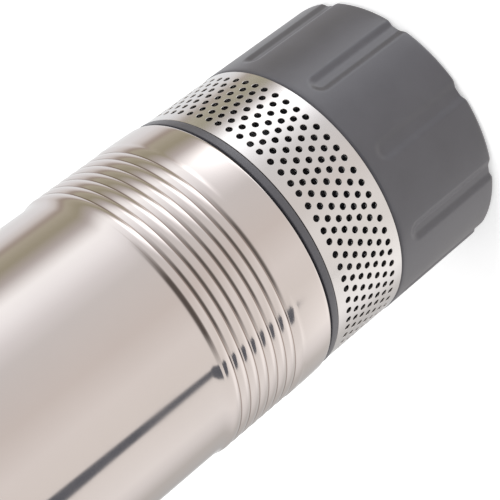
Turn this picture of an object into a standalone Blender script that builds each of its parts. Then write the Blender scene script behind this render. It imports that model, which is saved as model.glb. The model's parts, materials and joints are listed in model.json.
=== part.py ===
"""Borehole submersible pump: a multistage pump and its motor in one slim steel casing.

The pump stands on its foot, with its axis along Z and the origin at the centre of the foot's rim.
Water enters through the strainer, climbs through the stages, passes round the motor and leaves
through the check valve and the outlet at the top. Sizes are in millimetres unless a name says
otherwise, and a mesh is turned into metres when it is finished.
"""
import math

import bmesh
import bpy
from mathutils import Matrix, Vector

# Units and smoothness
MM = 0.001
MERGE_DISTANCE = 0.001
SHARP_ANGLE = math.radians(32.0)
FULL_TURN = 2.0 * math.pi

# Sides of round pieces, by their size
LARGE_SIDES = 28
MEDIUM_SIDES = 20
SMALL_SIDES = 14
TINY_SIDES = 8
HEX_SIDES = 12

# Clearances
SEAT_GAP = 0.3
RUN_GAP = 0.4
FUSE_DEPTH = 0.5

# Casing: steel tube with a collar, rolled ridges and a rim rolled over the head
TUBE_RADIUS = 48.0
TUBE_WALL = 0.8
TUBE_EDGE = 0.3
TUBE_RUN_OUT = 1.2
COLLAR_RISE = 1.0
COLLAR_HEIGHT = 16.4
COLLAR_LEAD = 2.5
COLLAR_LEAD_DROP = 0.15
COLLAR_CREST_SHARE = 0.6
COLLAR_SHOULDER_SHARE = 0.87
COLLAR_SHOULDER_DROP = 0.1
RIDGE_COUNT = 7
RIDGE_PITCH = 4.0
RIDGE_RISE = 0.85
VALLEY_RISE = 0.4
RIM_REACH = 2.6
RIM_THICKNESS = 1.2

# Foot: a moulded cup, open below
FOOT_PROUD = 0.3
FOOT_HEIGHT = 46.6
FOOT_WALL = 3.2
FOOT_DECK = 4.2
FOOT_EDGE = 1.0
GROOVE_COUNT = 10
GROOVE_WIDTH = 8.7
GROOVE_DEPTH = 1.0
GROOVE_TOP_LAND = 4.6
GUSSET_HEIGHT = 12.0
GUSSET_REACH = 10.0
GUSSET_THICKNESS = 2.0
REGISTER_HEIGHT = 3.0
REGISTER_WALL = 1.8
FOOT_BOSS_RADIUS = 7.0
FOOT_BOSS_HEIGHT = 4.0

# Screws that hold the foot
SCREW_COUNT = 4
SCREW_INSET = 17.0
SCREW_FIRST_ANGLE = 45.0
SCREW_RADIUS = 2.0
SCREW_LENGTH = 24.0
SCREW_HEAD_RADIUS = 4.4
SCREW_HEAD_HEIGHT = 3.0

# Strainer: one perforated sheet, rolled into a ring
STRAINER_HEIGHT = 31.1
STRAINER_SHEET = 0.8
HOLE_ROW_COUNT = 7
HOLE_ROW_PITCH = 3.475
HOLE_PAIR_COUNT = 24
HOLE_DIAMETER = 3.7

# Suction body: the dark ring, its spigot in the casing, the posts and the bush's hub
RING_HEIGHT = 3.7
LIP_HEIGHT = 3.0
SPIGOT_HEIGHT = 15.6
SPIGOT_WALL = 3.4
SUCTION_PLATE = 4.5
EYE_RADIUS = 19.0
HUB_RADIUS = 12.5
HUB_HEIGHT = 12.5
ARM_WIDTH = 6.0
ARM_HEIGHT = 7.0
POST_RADIUS = 5.5
SEAL_GROOVE_HEIGHT = 3.6
SEAL_GROOVE_DEPTH = 2.0
SEAL_GROOVE_OFFSET = 4.5

# Stages
STAGE_COUNT = 3
STAGE_PITCH = 27.0
BOWL_WALL = 2.2
BOWL_TOP = 1.8
PARTITION_HEIGHT = 13.4
PARTITION_THICKNESS = 1.8
PARTITION_SHARE = 0.805
RETURN_VANE_COUNT = 6
RETURN_VANE_THICKNESS = 2.0
RETURN_VANE_SWEEP = 55.0
IMPELLER_SHARE = 0.9475
IMPELLER_HUB_RADIUS = 9.0
IMPELLER_LIFT = 1.8
NECK_WALL = 1.8
NECK_DEPTH = 1.6
SHROUD_THICKNESS = 1.5
BLADE_COUNT = 6
BLADE_HEIGHT = 6.0
BLADE_THICKNESS = 1.8
BLADE_SWEEP = 75.0

# Shaft
SHAFT_RADIUS = 6.0
SHAFT_THREAD_RADIUS = 4.0
HEX_FLATS = 10.0
SHAFT_TIP = 2.0
NUT_FLATS = 13.0
NUT_HEIGHT = 6.4
JOURNAL_RADIUS = 6.35
BUSH_RADIUS = 8.7

# Bearings and seals
BEARING_RADIUS = 16.0
BEARING_WIDTH = 10.0
BEARING_OUTER_WALL = 2.7
BEARING_INNER_RADIUS = 8.7
BALL_COUNT = 8
BALL_CIRCLE_RADIUS = 10.85
BALL_RADIUS = 1.75
CAGE_HALF_WIDTH = 0.9
SEAL_RADIUS = 11.0
SEAL_SEAT_HEIGHT = 5.0
SEAL_HEAD_HEIGHT = 10.0
SEAL_HEAD_CHAMFER = 1.5
SEAL_HEAD_CHAMFER_HEIGHT = 2.5
LIP_SEAL_HEIGHT = 6.0
LIP_SEAL_WALL = 2.0
WASHER_THICKNESS = 0.5
WASHER_WIDTH = 3.0
WASHER_WAVE = 0.5
RACE_LIP = 1.2

# Motor
WATER_SHARE = 0.142
SHELL_WALL = 1.3
BRACKET_LIFT = 13.0
BRACKET_FLANGE = 6.0
BRACKET_SPIGOT = 6.0
BRACKET_CONE = 3.0
BOSS_WALL = 3.0
POCKET_CAP = 2.0
LUG_WIDTH = 9.0
LUG_ROOT = 2.2
LUG_COUNT = 6
WINDING_HEIGHT = 20.0
WINDING_SETBACK = 2.2
WINDING_MARGIN = 3.5
WINDING_CLEARANCE = 3.0
STATOR_LENGTH = 84.0
STATOR_BORE_SHARE = 0.563
AIR_GAP = 0.8
END_RING_SETBACK = 1.5
END_RING_WIDTH = 8.5
END_RING_HEIGHT = 8.0
UPPER_PLATE = 6.0
CAPACITOR_SHARE = 0.432
CAPACITOR_EDGE = 1.5
CAPACITOR_LENGTH = 70.0
CAPACITOR_PLACE_SHARE = 0.37
CAPACITOR_HEADROOM = 3.0
TERMINAL_SIZE = (26.0, 10.0, 16.0)
TERMINAL_PLACE_SHARE = 0.42
PROTECTOR_SIZE = (13.0, 7.0)
COVER_PLATE = 7.0
COVER_SPIGOT = 8.0
COVER_SPIGOT_WALL = 4.4
COVER_DOME = 2.0
COVER_LUG_HEIGHT = 27.0
COVER_LUG_COUNT = 4

# Discharge head
HEAD_SPIGOT = 17.0
HEAD_SPIGOT_WALL = 3.6
HEAD_SEAL_OFFSET = 5.0
HEAD_NECK_HEIGHT = 3.6
HEAD_SHOULDER_INSET = 8.0
HEAD_SHOULDER_RISE = 10.0
HEAD_CONE_RISE = 21.0
HEAD_HEIGHT = 50.0
OUTLET_BOSS_SHARE = 0.4833
INSERT_SHARE = 0.8405
INSERT_LENGTH = 24.0
OUTLET_SHARE = 0.777
VALVE_BORE_SHARE = 0.99
VALVE_BORE_BOTTOM = 8.5

# Rope ears
EAR_INSET = 5.0
EAR_THICKNESS = 9.0
EAR_TOP = 40.0
EAR_CORNER = 5.0
EAR_HOLE_RADIUS = 5.0
EAR_HOLE_SHIFT = 0.4
EAR_HOLE_HEIGHT = 30.0

# Check valve
VALVE_SEAT_HEIGHT = 4.0
VALVE_SEAT_SHARE = 0.6
VALVE_WASHER_THICKNESS = 1.5
VALVE_SHARE = 0.7667
VALVE_PLATE = 2.2
VALVE_LIFT = 5.0
VALVE_STEM_RADIUS = 2.0
VALVE_SPRING_SOLID = 4.6
VALVE_SPRING_RADIUS = 4.6
VALVE_SPRING_WIRE = 0.5
VALVE_SPRING_TURN_COUNT = 4
VALVE_CAGE_HEIGHT = 4.0
VALVE_CAGE_WALL = 2.4
VALVE_CAGE_HUB_RADIUS = 6.0
VALVE_CAGE_ARM = 2.6

# Cable gland, at the side of the outlet
GLAND_SHIFT = 0.1
GLAND_COLUMN_SHARE = 0.43
GLAND_HEIGHT = 24.0
GLAND_COLUMN_DROP = 13.0
GLAND_BUSH_SHARE = 0.685
GLAND_BUSH_LENGTH = 12.0
CABLE_HOLE_SHARE = 0.65
GLAND_WASHER = 1.2
GLAND_NUT_SHARE = 0.771
GLAND_NUT_HEIGHT = 9.0
CONDUIT_RISE = 0.7
CONDUIT_WALL = 1.6
CONDUIT_SOCKET = 6.0


def inside(radius, sides, gap=SEAT_GAP):
    """Largest radius that stays a gap clear within a many-sided bore."""
    return radius * math.cos(math.pi / sides) - gap


def outside(radius, sides, gap=SEAT_GAP):
    """Smallest bore radius whose flats stay a gap clear of a round piece."""
    return (radius + gap) / math.cos(math.pi / sides)


# Heights that follow from the stack, from the ground up
FOOT_TOP = FOOT_HEIGHT
RING_BOTTOM = FOOT_TOP + STRAINER_HEIGHT
CASING_BOTTOM = RING_BOTTOM + RING_HEIGHT
SUCTION_TOP = CASING_BOTTOM + SPIGOT_HEIGHT
STAGE_BOTTOM = SUCTION_TOP + SEAT_GAP
IMPELLER_BOTTOM = STAGE_BOTTOM + IMPELLER_LIFT
STACK_TOP = STAGE_BOTTOM + STAGE_COUNT * STAGE_PITCH
SHOULDER = IMPELLER_BOTTOM + STAGE_COUNT * STAGE_PITCH
BEARING_POCKET = BEARING_WIDTH + 2.0 * SEAT_GAP
SEAL_BORE_LENGTH = SEAL_SEAT_HEIGHT + LIP_SEAL_HEIGHT + 3.0 * SEAT_GAP
FLANGE_BOTTOM = STACK_TOP + BRACKET_LIFT
SHELL_BOTTOM = FLANGE_BOTTOM + BRACKET_FLANGE + SEAT_GAP
LOWER_SPIGOT_TOP = FLANGE_BOTTOM + BRACKET_FLANGE + BRACKET_SPIGOT
LOWER_CONE_TOP = LOWER_SPIGOT_TOP + BRACKET_CONE
LOWER_POCKET_BOTTOM = FLANGE_BOTTOM + SEAL_BORE_LENGTH + RACE_LIP
LOWER_BEARING = LOWER_POCKET_BOTTOM + SEAT_GAP
LOWER_BOSS_TOP = LOWER_POCKET_BOTTOM + BEARING_POCKET
LOWER_WINDING = LOWER_CONE_TOP + WINDING_CLEARANCE
STATOR_BOTTOM = LOWER_WINDING + WINDING_HEIGHT + SEAT_GAP
STATOR_TOP = STATOR_BOTTOM + STATOR_LENGTH
UPPER_WINDING = STATOR_TOP + SEAT_GAP
UPPER_PLATE_BOTTOM = UPPER_WINDING + WINDING_HEIGHT + WINDING_CLEARANCE
UPPER_PLATE_TOP = UPPER_PLATE_BOTTOM + UPPER_PLATE
WASHER_SPACE = WASHER_THICKNESS + 2.0 * WASHER_WAVE + SEAT_GAP
UPPER_POCKET_TOP = UPPER_PLATE_TOP - POCKET_CAP
UPPER_BEARING = UPPER_POCKET_TOP - WASHER_SPACE - BEARING_WIDTH
UPPER_BOSS_BOTTOM = UPPER_BEARING - SEAT_GAP
SHELL_TOP = UPPER_PLATE_TOP + SEAT_GAP + CAPACITOR_LENGTH + CAPACITOR_HEADROOM + COVER_SPIGOT
COVER_BOTTOM = SHELL_TOP + SEAT_GAP
COVER_TOP = COVER_BOTTOM + COVER_PLATE
HEAD_BOTTOM = COVER_BOTTOM + COVER_LUG_HEIGHT + SEAT_GAP
HEAD_FLANGE_TOP = HEAD_BOTTOM + HEAD_SPIGOT
CASING_TOP = HEAD_FLANGE_TOP + SEAT_GAP + RIM_THICKNESS
HEAD_TOP = HEAD_FLANGE_TOP + HEAD_HEIGHT

# Radii that follow from the tube
FOOT_RADIUS = TUBE_RADIUS + FOOT_PROUD
RING_RADIUS = TUBE_RADIUS + FOOT_PROUD
STRAINER_RADIUS = TUBE_RADIUS
COLLAR_RADIUS = TUBE_RADIUS + COLLAR_RISE
RIDGE_RADIUS = TUBE_RADIUS + RIDGE_RISE
VALLEY_RADIUS = TUBE_RADIUS + VALLEY_RISE
SCREW_CIRCLE_RADIUS = TUBE_RADIUS - SCREW_INSET
HEAD_SHOULDER_RADIUS = TUBE_RADIUS - HEAD_SHOULDER_INSET
EAR_OUTER = TUBE_RADIUS - EAR_INSET
CASING_BORE = TUBE_RADIUS - TUBE_WALL
PARTITION_RADIUS = CASING_BORE * PARTITION_SHARE
IMPELLER_RADIUS = PARTITION_RADIUS * IMPELLER_SHARE
SHELL_RADIUS = CASING_BORE * (1.0 - WATER_SHARE)

# Radii that follow from the motor's shell
STATOR_INNER_RADIUS = SHELL_RADIUS * STATOR_BORE_SHARE
ROTOR_RADIUS = STATOR_INNER_RADIUS - AIR_GAP
END_RING_RADIUS = ROTOR_RADIUS - END_RING_SETBACK
END_RING_INNER_RADIUS = END_RING_RADIUS - END_RING_WIDTH
WINDING_INNER_RADIUS = STATOR_INNER_RADIUS + WINDING_SETBACK
WINDING_OUTER_RADIUS = SHELL_RADIUS - WINDING_MARGIN
CAPACITOR_RADIUS = SHELL_RADIUS * CAPACITOR_SHARE
CAPACITOR_OFFSET = SHELL_RADIUS * CAPACITOR_PLACE_SHARE
TERMINAL_OFFSET = SHELL_RADIUS * TERMINAL_PLACE_SHARE

# Radii of the head: the outlet in the middle, ears and gland between it and the casing's rim
RIM_BORE = TUBE_RADIUS - RIM_REACH - TUBE_WALL
OUTLET_BOSS_RADIUS = TUBE_RADIUS * OUTLET_BOSS_SHARE
INSERT_RADIUS = OUTLET_BOSS_RADIUS * INSERT_SHARE
OUTLET_RADIUS = INSERT_RADIUS * OUTLET_SHARE
VALVE_BORE_RADIUS = OUTLET_RADIUS * VALVE_BORE_SHARE
VALVE_SEAT_INNER_RADIUS = VALVE_BORE_RADIUS * VALVE_SEAT_SHARE
VALVE_RADIUS = VALVE_BORE_RADIUS * VALVE_SHARE
EAR_HOLE_OFFSET = (OUTLET_BOSS_RADIUS + EAR_OUTER) / 2.0 + EAR_HOLE_SHIFT
GLAND_ROOM = RIM_BORE - OUTLET_BOSS_RADIUS
GLAND_OFFSET = (RIM_BORE + OUTLET_BOSS_RADIUS) / 2.0 + GLAND_SHIFT
GLAND_COLUMN_RADIUS = GLAND_ROOM * GLAND_COLUMN_SHARE
GLAND_BUSH_RADIUS = GLAND_COLUMN_RADIUS * GLAND_BUSH_SHARE
GLAND_NUT_FLATS = GLAND_ROOM * GLAND_NUT_SHARE
CABLE_HOLE_RADIUS = GLAND_BUSH_RADIUS * CABLE_HOLE_SHARE
CONDUIT_RADIUS = GLAND_BUSH_RADIUS + CONDUIT_RISE

# Sizes that follow from what a piece sits in
VALVE_SPRING_LENGTH = VALVE_LIFT + VALVE_SPRING_SOLID
CASING_FIT = inside(CASING_BORE, LARGE_SIDES)
SHELL_BORE = SHELL_RADIUS - SHELL_WALL
SHELL_FIT = inside(SHELL_BORE, MEDIUM_SIDES)
SHAFT_BORE = outside(SHAFT_RADIUS, SMALL_SIDES)
BEARING_BORE = outside(BEARING_RADIUS, MEDIUM_SIDES)
SEAL_BORE = outside(SEAL_RADIUS, MEDIUM_SIDES)
STRAINER_BORE = STRAINER_RADIUS - STRAINER_SHEET
STRAINER_FIT = inside(STRAINER_BORE, LARGE_SIDES)
VALVE_FIT = inside(VALVE_BORE_RADIUS, MEDIUM_SIDES)


# Shapes in millimetres

def on_circle(radius, sides):
    """Points of a circle in the XY plane."""
    angles = [FULL_TURN * step / sides for step in range(sides)]
    return [(radius * math.cos(angle), radius * math.sin(angle)) for angle in angles]


def hexagon(flats, sides=HEX_SIDES):
    """Points of a hexagon, its corners and the middles of its flats in turn."""
    corner = flats / 2.0 / math.cos(math.pi / 6.0)
    angles = [FULL_TURN * step / sides for step in range(sides)]
    radii = [corner if step % 2 == 0 else flats / 2.0 for step in range(sides)]
    return [(r * math.cos(angle), r * math.sin(angle)) for r, angle in zip(radii, angles)]


def turned(outline, sides):
    """Turns a closed outline of (radius, height) points about the Z axis."""
    shape = bmesh.new()
    points = [shape.verts.new((radius, 0.0, height)) for radius, height in outline]
    edges = []
    for index, (radius, height) in enumerate(outline):
        after = (index + 1) % len(outline)
        if radius > 0.0 or outline[after][0] > 0.0:
            edges.append(shape.edges.new((points[index], points[after])))
    bmesh.ops.spin(shape, geom=points + edges, cent=(0, 0, 0), axis=(0, 0, 1), dvec=(0, 0, 0),
                   angle=FULL_TURN, steps=sides, use_merge=True, use_duplicate=False)
    bmesh.ops.remove_doubles(shape, verts=shape.verts, dist=MERGE_DISTANCE)
    return shape


def ring(inner, outer, bottom, top, sides):
    """Plain ring with square corners."""
    return turned([(inner, bottom), (outer, bottom), (outer, top), (inner, top)], sides)


def disc(radius, bottom, top, sides):
    """Plain round disc or rod."""
    return prism(on_circle(radius, sides), bottom, top)


def prism(outline, bottom, top):
    """Extrudes a closed XY outline along Z."""
    shape = bmesh.new()
    face = shape.faces.new([shape.verts.new((x, y, bottom)) for x, y in outline])
    raised = bmesh.ops.extrude_face_region(shape, geom=[face])["geom"]
    verts = [item for item in raised if isinstance(item, bmesh.types.BMVert)]
    bmesh.ops.translate(shape, verts=verts, vec=(0.0, 0.0, top - bottom))
    return shape


def block(x_range, y_range, z_range):
    """Box between two limits along each axis."""
    outline = [(x_range[0], y_range[0]), (x_range[1], y_range[0]),
               (x_range[1], y_range[1]), (x_range[0], y_range[1])]
    return prism(outline, z_range[0], z_range[1])


def lofted(loops):
    """Skin over closed loops of equally many (x, y, z) points, with both ends capped."""
    shape = bmesh.new()
    rows = [[shape.verts.new(point) for point in loop] for loop in loops]
    count = len(rows[0])
    for lower, upper in zip(rows, rows[1:]):
        for index in range(count):
            after = (index + 1) % count
            shape.faces.new((lower[index], lower[after], upper[after], upper[index]))
    shape.faces.new(list(reversed(rows[0])))
    shape.faces.new(rows[-1])
    return shape


def tube_between(outer, inner, bottom, top):
    """Sleeve whose outer and inner outlines have equally many points."""
    shape = bmesh.new()
    loops = []
    for outline, height in ((outer, bottom), (outer, top), (inner, top), (inner, bottom)):
        loops.append([shape.verts.new((x, y, height)) for x, y in outline])
    count = len(outer)
    for here, there in zip(loops, loops[1:] + loops[:1]):
        for index in range(count):
            after = (index + 1) % count
            shape.faces.new((here[index], here[after], there[after], there[index]))
    return shape


def around(shape, count, first_angle=0.0):
    """Repeats a shape about the Z axis, evenly, from an angle in degrees."""
    pattern = shape.verts[:] + shape.edges[:] + shape.faces[:]
    for step in range(1, count):
        copy = bmesh.ops.duplicate(shape, geom=pattern)["geom"]
        verts = [item for item in copy if isinstance(item, bmesh.types.BMVert)]
        turn = Matrix.Rotation(FULL_TURN * step / count, 3, "Z")
        bmesh.ops.rotate(shape, cent=(0, 0, 0), matrix=turn, verts=verts)
    turn = Matrix.Rotation(math.radians(first_angle), 3, "Z")
    bmesh.ops.rotate(shape, cent=(0, 0, 0), matrix=turn, verts=shape.verts)
    return shape


def moved(shape, x=0.0, y=0.0, z=0.0):
    """Shifts a shape."""
    bmesh.ops.translate(shape, verts=shape.verts, vec=(x, y, z))
    return shape


def vane_outline(start, end, sweep, thickness, steps=4):
    """Outline of a swept blade that runs outwards from one radius to another."""
    line = []
    for step in range(steps + 1):
        share = step / steps
        radius = start + (end - start) * share
        angle = math.radians(sweep) * share
        line.append(Vector((radius * math.cos(angle), radius * math.sin(angle))))
    left, right = [], []
    for step, point in enumerate(line):
        along = line[min(step + 1, steps)] - line[max(step - 1, 0)]
        across = Vector((-along.y, along.x)).normalized() * thickness / 2.0
        left.append(tuple(point + across))
        right.append(tuple(point - across))
    return left + right[::-1]


# Blender objects

def material(name, colour, roughness, metallic):
    """Principled material, made once."""
    if name in bpy.data.materials:
        return bpy.data.materials[name]
    made = bpy.data.materials.new(name)
    made.use_nodes = True
    shader = made.node_tree.nodes["Principled BSDF"]
    shader.inputs["Base Color"].default_value = (*colour, 1.0)
    shader.inputs["Roughness"].default_value = roughness
    shader.inputs["Metallic"].default_value = metallic
    return made


def polished_steel():
    return material("polished_steel", (0.62, 0.59, 0.57), 0.18, 1.0)


def satin_steel():
    return material("satin_steel", (0.66, 0.64, 0.62), 0.35, 1.0)


def grey_plastic():
    return material("grey_plastic", (0.15, 0.15, 0.16), 0.45, 0.0)


def stage_plastic():
    return material("stage_plastic", (0.05, 0.05, 0.06), 0.5, 0.0)


def steel():
    return material("machined_steel", (0.45, 0.45, 0.46), 0.35, 1.0)


def brass():
    return material("brass", (0.6, 0.43, 0.17), 0.3, 1.0)


def aluminium():
    return material("cast_aluminium", (0.55, 0.56, 0.57), 0.5, 1.0)


def laminations():
    return material("laminated_steel", (0.25, 0.25, 0.27), 0.55, 0.8)


def copper():
    return material("lacquered_copper", (0.5, 0.17, 0.06), 0.4, 0.8)


def rubber():
    return material("black_rubber", (0.02, 0.02, 0.02), 0.75, 0.0)


def ceramic():
    return material("ceramic", (0.75, 0.72, 0.66), 0.25, 0.0)


def finished_mesh(name, shape):
    """Mesh in metres from a shape in millimetres, smooth with sharp corners."""
    bmesh.ops.remove_doubles(shape, verts=shape.verts, dist=MERGE_DISTANCE)
    bmesh.ops.recalc_face_normals(shape, faces=shape.faces)
    bmesh.ops.scale(shape, vec=(MM, MM, MM), verts=shape.verts)
    mesh = bpy.data.meshes.new(name)
    shape.to_mesh(mesh)
    shape.free()
    mesh.shade_smooth()
    mesh.set_sharp_from_angle(angle=SHARP_ANGLE)
    return mesh


def node(name, shape, look, x=0.0, y=0.0, z=0.0):
    """Named object with its origin at a place in millimetres."""
    made = bpy.data.objects.new(name, finished_mesh(name, shape))
    made.data.materials.append(look)
    made.location = (x * MM, y * MM, z * MM)
    bpy.context.collection.objects.link(made)
    return made


def combined(target, shape, operation):
    """Joins a shape to an object, or cuts it away, and keeps only the result."""
    tool = bpy.data.objects.new("tool", finished_mesh("tool", shape))
    tool.location = target.location
    bpy.context.collection.objects.link(tool)
    modifier = target.modifiers.new(operation.lower(), "BOOLEAN")
    modifier.operation = operation
    modifier.solver = "EXACT"
    modifier.object = tool
    shown = target.evaluated_get(bpy.context.evaluated_depsgraph_get())
    mesh = bpy.data.meshes.new_from_object(shown)
    target.modifiers.remove(modifier)
    target.data = mesh
    mesh.shade_smooth()
    mesh.set_sharp_from_angle(angle=SHARP_ANGLE)
    bpy.data.objects.remove(tool, do_unlink=True)
    return target


def fuse(target, shape):
    return combined(target, shape, "UNION")


def cut(target, shape):
    return combined(target, shape, "DIFFERENCE")


def copy_of(source, name, z):
    """Another object with the same mesh, at another height."""
    made = bpy.data.objects.new(name, source.data)
    made.location = (source.location.x, source.location.y, z * MM)
    bpy.context.collection.objects.link(made)
    return made


# Foot and strainer

def foot():
    """Moulded cup with grooves, a deck with a register for the strainer, and screw bosses."""
    deck_bottom = FOOT_TOP - FOOT_DECK
    bore = FOOT_RADIUS - FOOT_WALL
    register = STRAINER_FIT
    wall = [(FOOT_RADIUS - FOOT_EDGE, 0.0), (FOOT_RADIUS, FOOT_EDGE),
            (FOOT_RADIUS, FOOT_TOP - FOOT_EDGE / 2.0), (FOOT_RADIUS - FOOT_EDGE / 2.0, FOOT_TOP)]
    deck = [(register, FOOT_TOP), (register, FOOT_TOP + REGISTER_HEIGHT),
            (register - REGISTER_WALL, FOOT_TOP + REGISTER_HEIGHT),
            (register - REGISTER_WALL, FOOT_TOP), (0.0, FOOT_TOP), (0.0, deck_bottom)]
    made = node("foot", turned(wall + deck + [(bore, deck_bottom), (bore, 0.0)], GROOVE_COUNT * 3),
                grey_plastic())
    boss_bottom = deck_bottom - FOOT_BOSS_HEIGHT
    boss = disc(FOOT_BOSS_RADIUS, boss_bottom, deck_bottom + FUSE_DEPTH, TINY_SIDES)
    fuse(made, around(moved(boss, x=SCREW_CIRCLE_RADIUS), SCREW_COUNT, SCREW_FIRST_ANGLE))
    fuse(made, around(gusset(bore, deck_bottom), GROOVE_COUNT, 180.0 / GROOVE_COUNT))
    hole = disc(outside(SCREW_RADIUS, TINY_SIDES), 0.0, FOOT_TOP + FUSE_DEPTH, TINY_SIDES)
    cut(made, around(moved(hole, x=SCREW_CIRCLE_RADIUS), SCREW_COUNT, SCREW_FIRST_ANGLE))
    cut(made, around(groove_cutter(), GROOVE_COUNT))
    return made


def gusset(bore, deck_bottom):
    """Triangular rib between the foot's wall and its deck."""
    inner = bore - GUSSET_REACH
    outer = bore + FUSE_DEPTH
    top = deck_bottom + FUSE_DEPTH
    profile = [(inner, top), (inner, deck_bottom - 2.0 * FUSE_DEPTH),
               (outer, deck_bottom - GUSSET_HEIGHT), (outer, top)]
    half = GUSSET_THICKNESS / 2.0
    shape = bmesh.new()
    sides = [[shape.verts.new((x, y, z)) for x, z in profile] for y in (-half, half)]
    shape.faces.new(sides[0])
    shape.faces.new(sides[1][::-1])
    for index in range(len(profile)):
        after = (index + 1) % len(profile)
        shape.faces.new((sides[0][index], sides[0][after], sides[1][after], sides[1][index]))
    return shape


def groove_cutter():
    """Round-ended rod that leaves a groove of the stated width and depth."""
    sagitta = GROOVE_WIDTH ** 2 / 8.0 / FOOT_RADIUS
    depth = GROOVE_DEPTH + sagitta
    radius = (GROOVE_WIDTH ** 2 / 4.0 + depth ** 2) / 2.0 / depth
    centre = FOOT_RADIUS - GROOVE_DEPTH + radius
    end = FOOT_TOP - GROOVE_TOP_LAND - GROOVE_WIDTH / 2.0
    steps = 5
    dome = []
    for step in range(steps + 1):
        angle = math.pi / 2.0 * step / steps
        dome.append((radius * math.cos(angle), end + GROOVE_WIDTH / 2.0 * math.sin(angle)))
    dome[-1] = (0.0, dome[-1][1])
    outline = [(0.0, -FOOT_EDGE), (radius, -FOOT_EDGE)] + dome
    return moved(turned(outline, MEDIUM_SIDES), x=centre)


def foot_screws():
    """Pan-head screws that come up through the foot's deck into the posts."""
    head_bottom = FOOT_TOP - FOOT_DECK - FOOT_BOSS_HEIGHT - SEAT_GAP - SCREW_HEAD_HEIGHT
    outline = [(0.0, 0.0), (SCREW_HEAD_RADIUS, 0.0), (SCREW_HEAD_RADIUS, SCREW_HEAD_HEIGHT),
               (SCREW_RADIUS, SCREW_HEAD_HEIGHT), (SCREW_RADIUS, SCREW_HEAD_HEIGHT + SCREW_LENGTH),
               (0.0, SCREW_HEAD_HEIGHT + SCREW_LENGTH)]
    for index in range(SCREW_COUNT):
        angle = math.radians(SCREW_FIRST_ANGLE) + FULL_TURN * index / SCREW_COUNT
        node(f"foot_screw_{index + 1}", turned(outline, TINY_SIDES), steel(),
             x=SCREW_CIRCLE_RADIUS * math.cos(angle), y=SCREW_CIRCLE_RADIUS * math.sin(angle),
             z=head_bottom)


def strainer():
    """Perforated ring. Columns of holes stand half a row pitch up and down in turn.

    Each hole is a diamond of the same area as the round one, so that four quads join it to its
    diagonal neighbours and one more fills the space between four holes.
    """
    columns = 2 * HOLE_PAIR_COUNT
    low = RING_BOTTOM - STRAINER_HEIGHT + SEAT_GAP
    high = RING_BOTTOM - SEAT_GAP
    middle = (low + high) / 2.0
    reach = HOLE_DIAMETER / 2.0 * math.sqrt(math.pi / 2.0)
    last_row = HOLE_ROW_COUNT - 1
    shape = bmesh.new()

    def point(radius, column, height, aside=0.0):
        angle = FULL_TURN * column / columns + aside / STRAINER_RADIUS
        return shape.verts.new((radius * math.cos(angle), radius * math.sin(angle), height))

    def skin(radius):
        """Corners of every hole, and the points of both rims, on one face of the sheet."""
        holes = {}
        for column in range(columns):
            for row in range(column % 2, HOLE_ROW_COUNT, 2):
                height = middle + (row - last_row / 2.0) * HOLE_ROW_PITCH
                holes[row, column] = (point(radius, column, height + reach),
                                      point(radius, column, height, reach),
                                      point(radius, column, height - reach),
                                      point(radius, column, height, -reach))
        rims = [[point(radius, column, height) for column in range(columns)]
                for height in (low, high)]
        return holes, rims

    def cover(holes, rims):
        """Quads between the holes, as lists of points."""
        quads = []
        for (row, column), (top, right, bottom, left) in holes.items():
            after = (column + 1) % columns
            second = (column + 2) % columns
            before = (column - 1) % columns
            if (row + 1, after) in holes:
                upper = holes[row + 1, after]
                quads.append((top, right, upper[2], upper[3]))
            if (row - 1, after) in holes:
                lower = holes[row - 1, after]
                quads.append((right, bottom, lower[3], lower[0]))
            above = holes[row + 1, after][2] if (row + 1, after) in holes else rims[1][after]
            below = holes[row - 1, after][0] if (row - 1, after) in holes else rims[0][after]
            quads.append((right, below, holes[row, second][3], above))
            if row == 0:
                quads.append((rims[0][before], rims[0][column], bottom, left))
                quads.append((rims[0][column], rims[0][after], right, bottom))
            if row == last_row:
                quads.append((rims[1][column], rims[1][before], left, top))
                quads.append((rims[1][after], rims[1][column], top, right))
        return quads

    outer_holes, outer_rims = skin(STRAINER_RADIUS)
    inner_holes, inner_rims = skin(STRAINER_BORE)
    for quad in cover(outer_holes, outer_rims) + cover(inner_holes, inner_rims):
        shape.faces.new(quad)
    loops = [(outer_holes[key], inner_holes[key]) for key in outer_holes]
    loops += list(zip(outer_rims, inner_rims))
    for outer, inner in loops:
        for index in range(len(outer)):
            after = (index + 1) % len(outer)
            shape.faces.new((outer[index], outer[after], inner[after], inner[index]))
    return node("strainer", shape, satin_steel())


# Suction body and casing

def seal_groove(bottom, radius):
    """Outline points of an O-ring groove, from below."""
    top = bottom + SEAL_GROOVE_HEIGHT
    floor = radius - SEAL_GROOVE_DEPTH
    return [(radius, bottom), (floor, bottom), (floor, top), (radius, top)]


def casing_seal(name, bottom):
    """O-ring in its groove."""
    outer = CASING_FIT
    inner = outside(CASING_FIT - SEAL_GROOVE_DEPTH, MEDIUM_SIDES)
    low = SEAT_GAP
    high = SEAL_GROOVE_HEIGHT - SEAT_GAP
    middle = (inner + outer) / 2.0
    outline = [(inner, (low + high) / 2.0), (middle, low), (outer, (low + high) / 2.0),
               (middle, high)]
    return node(name, turned(outline, MEDIUM_SIDES), rubber(), z=bottom)


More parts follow.
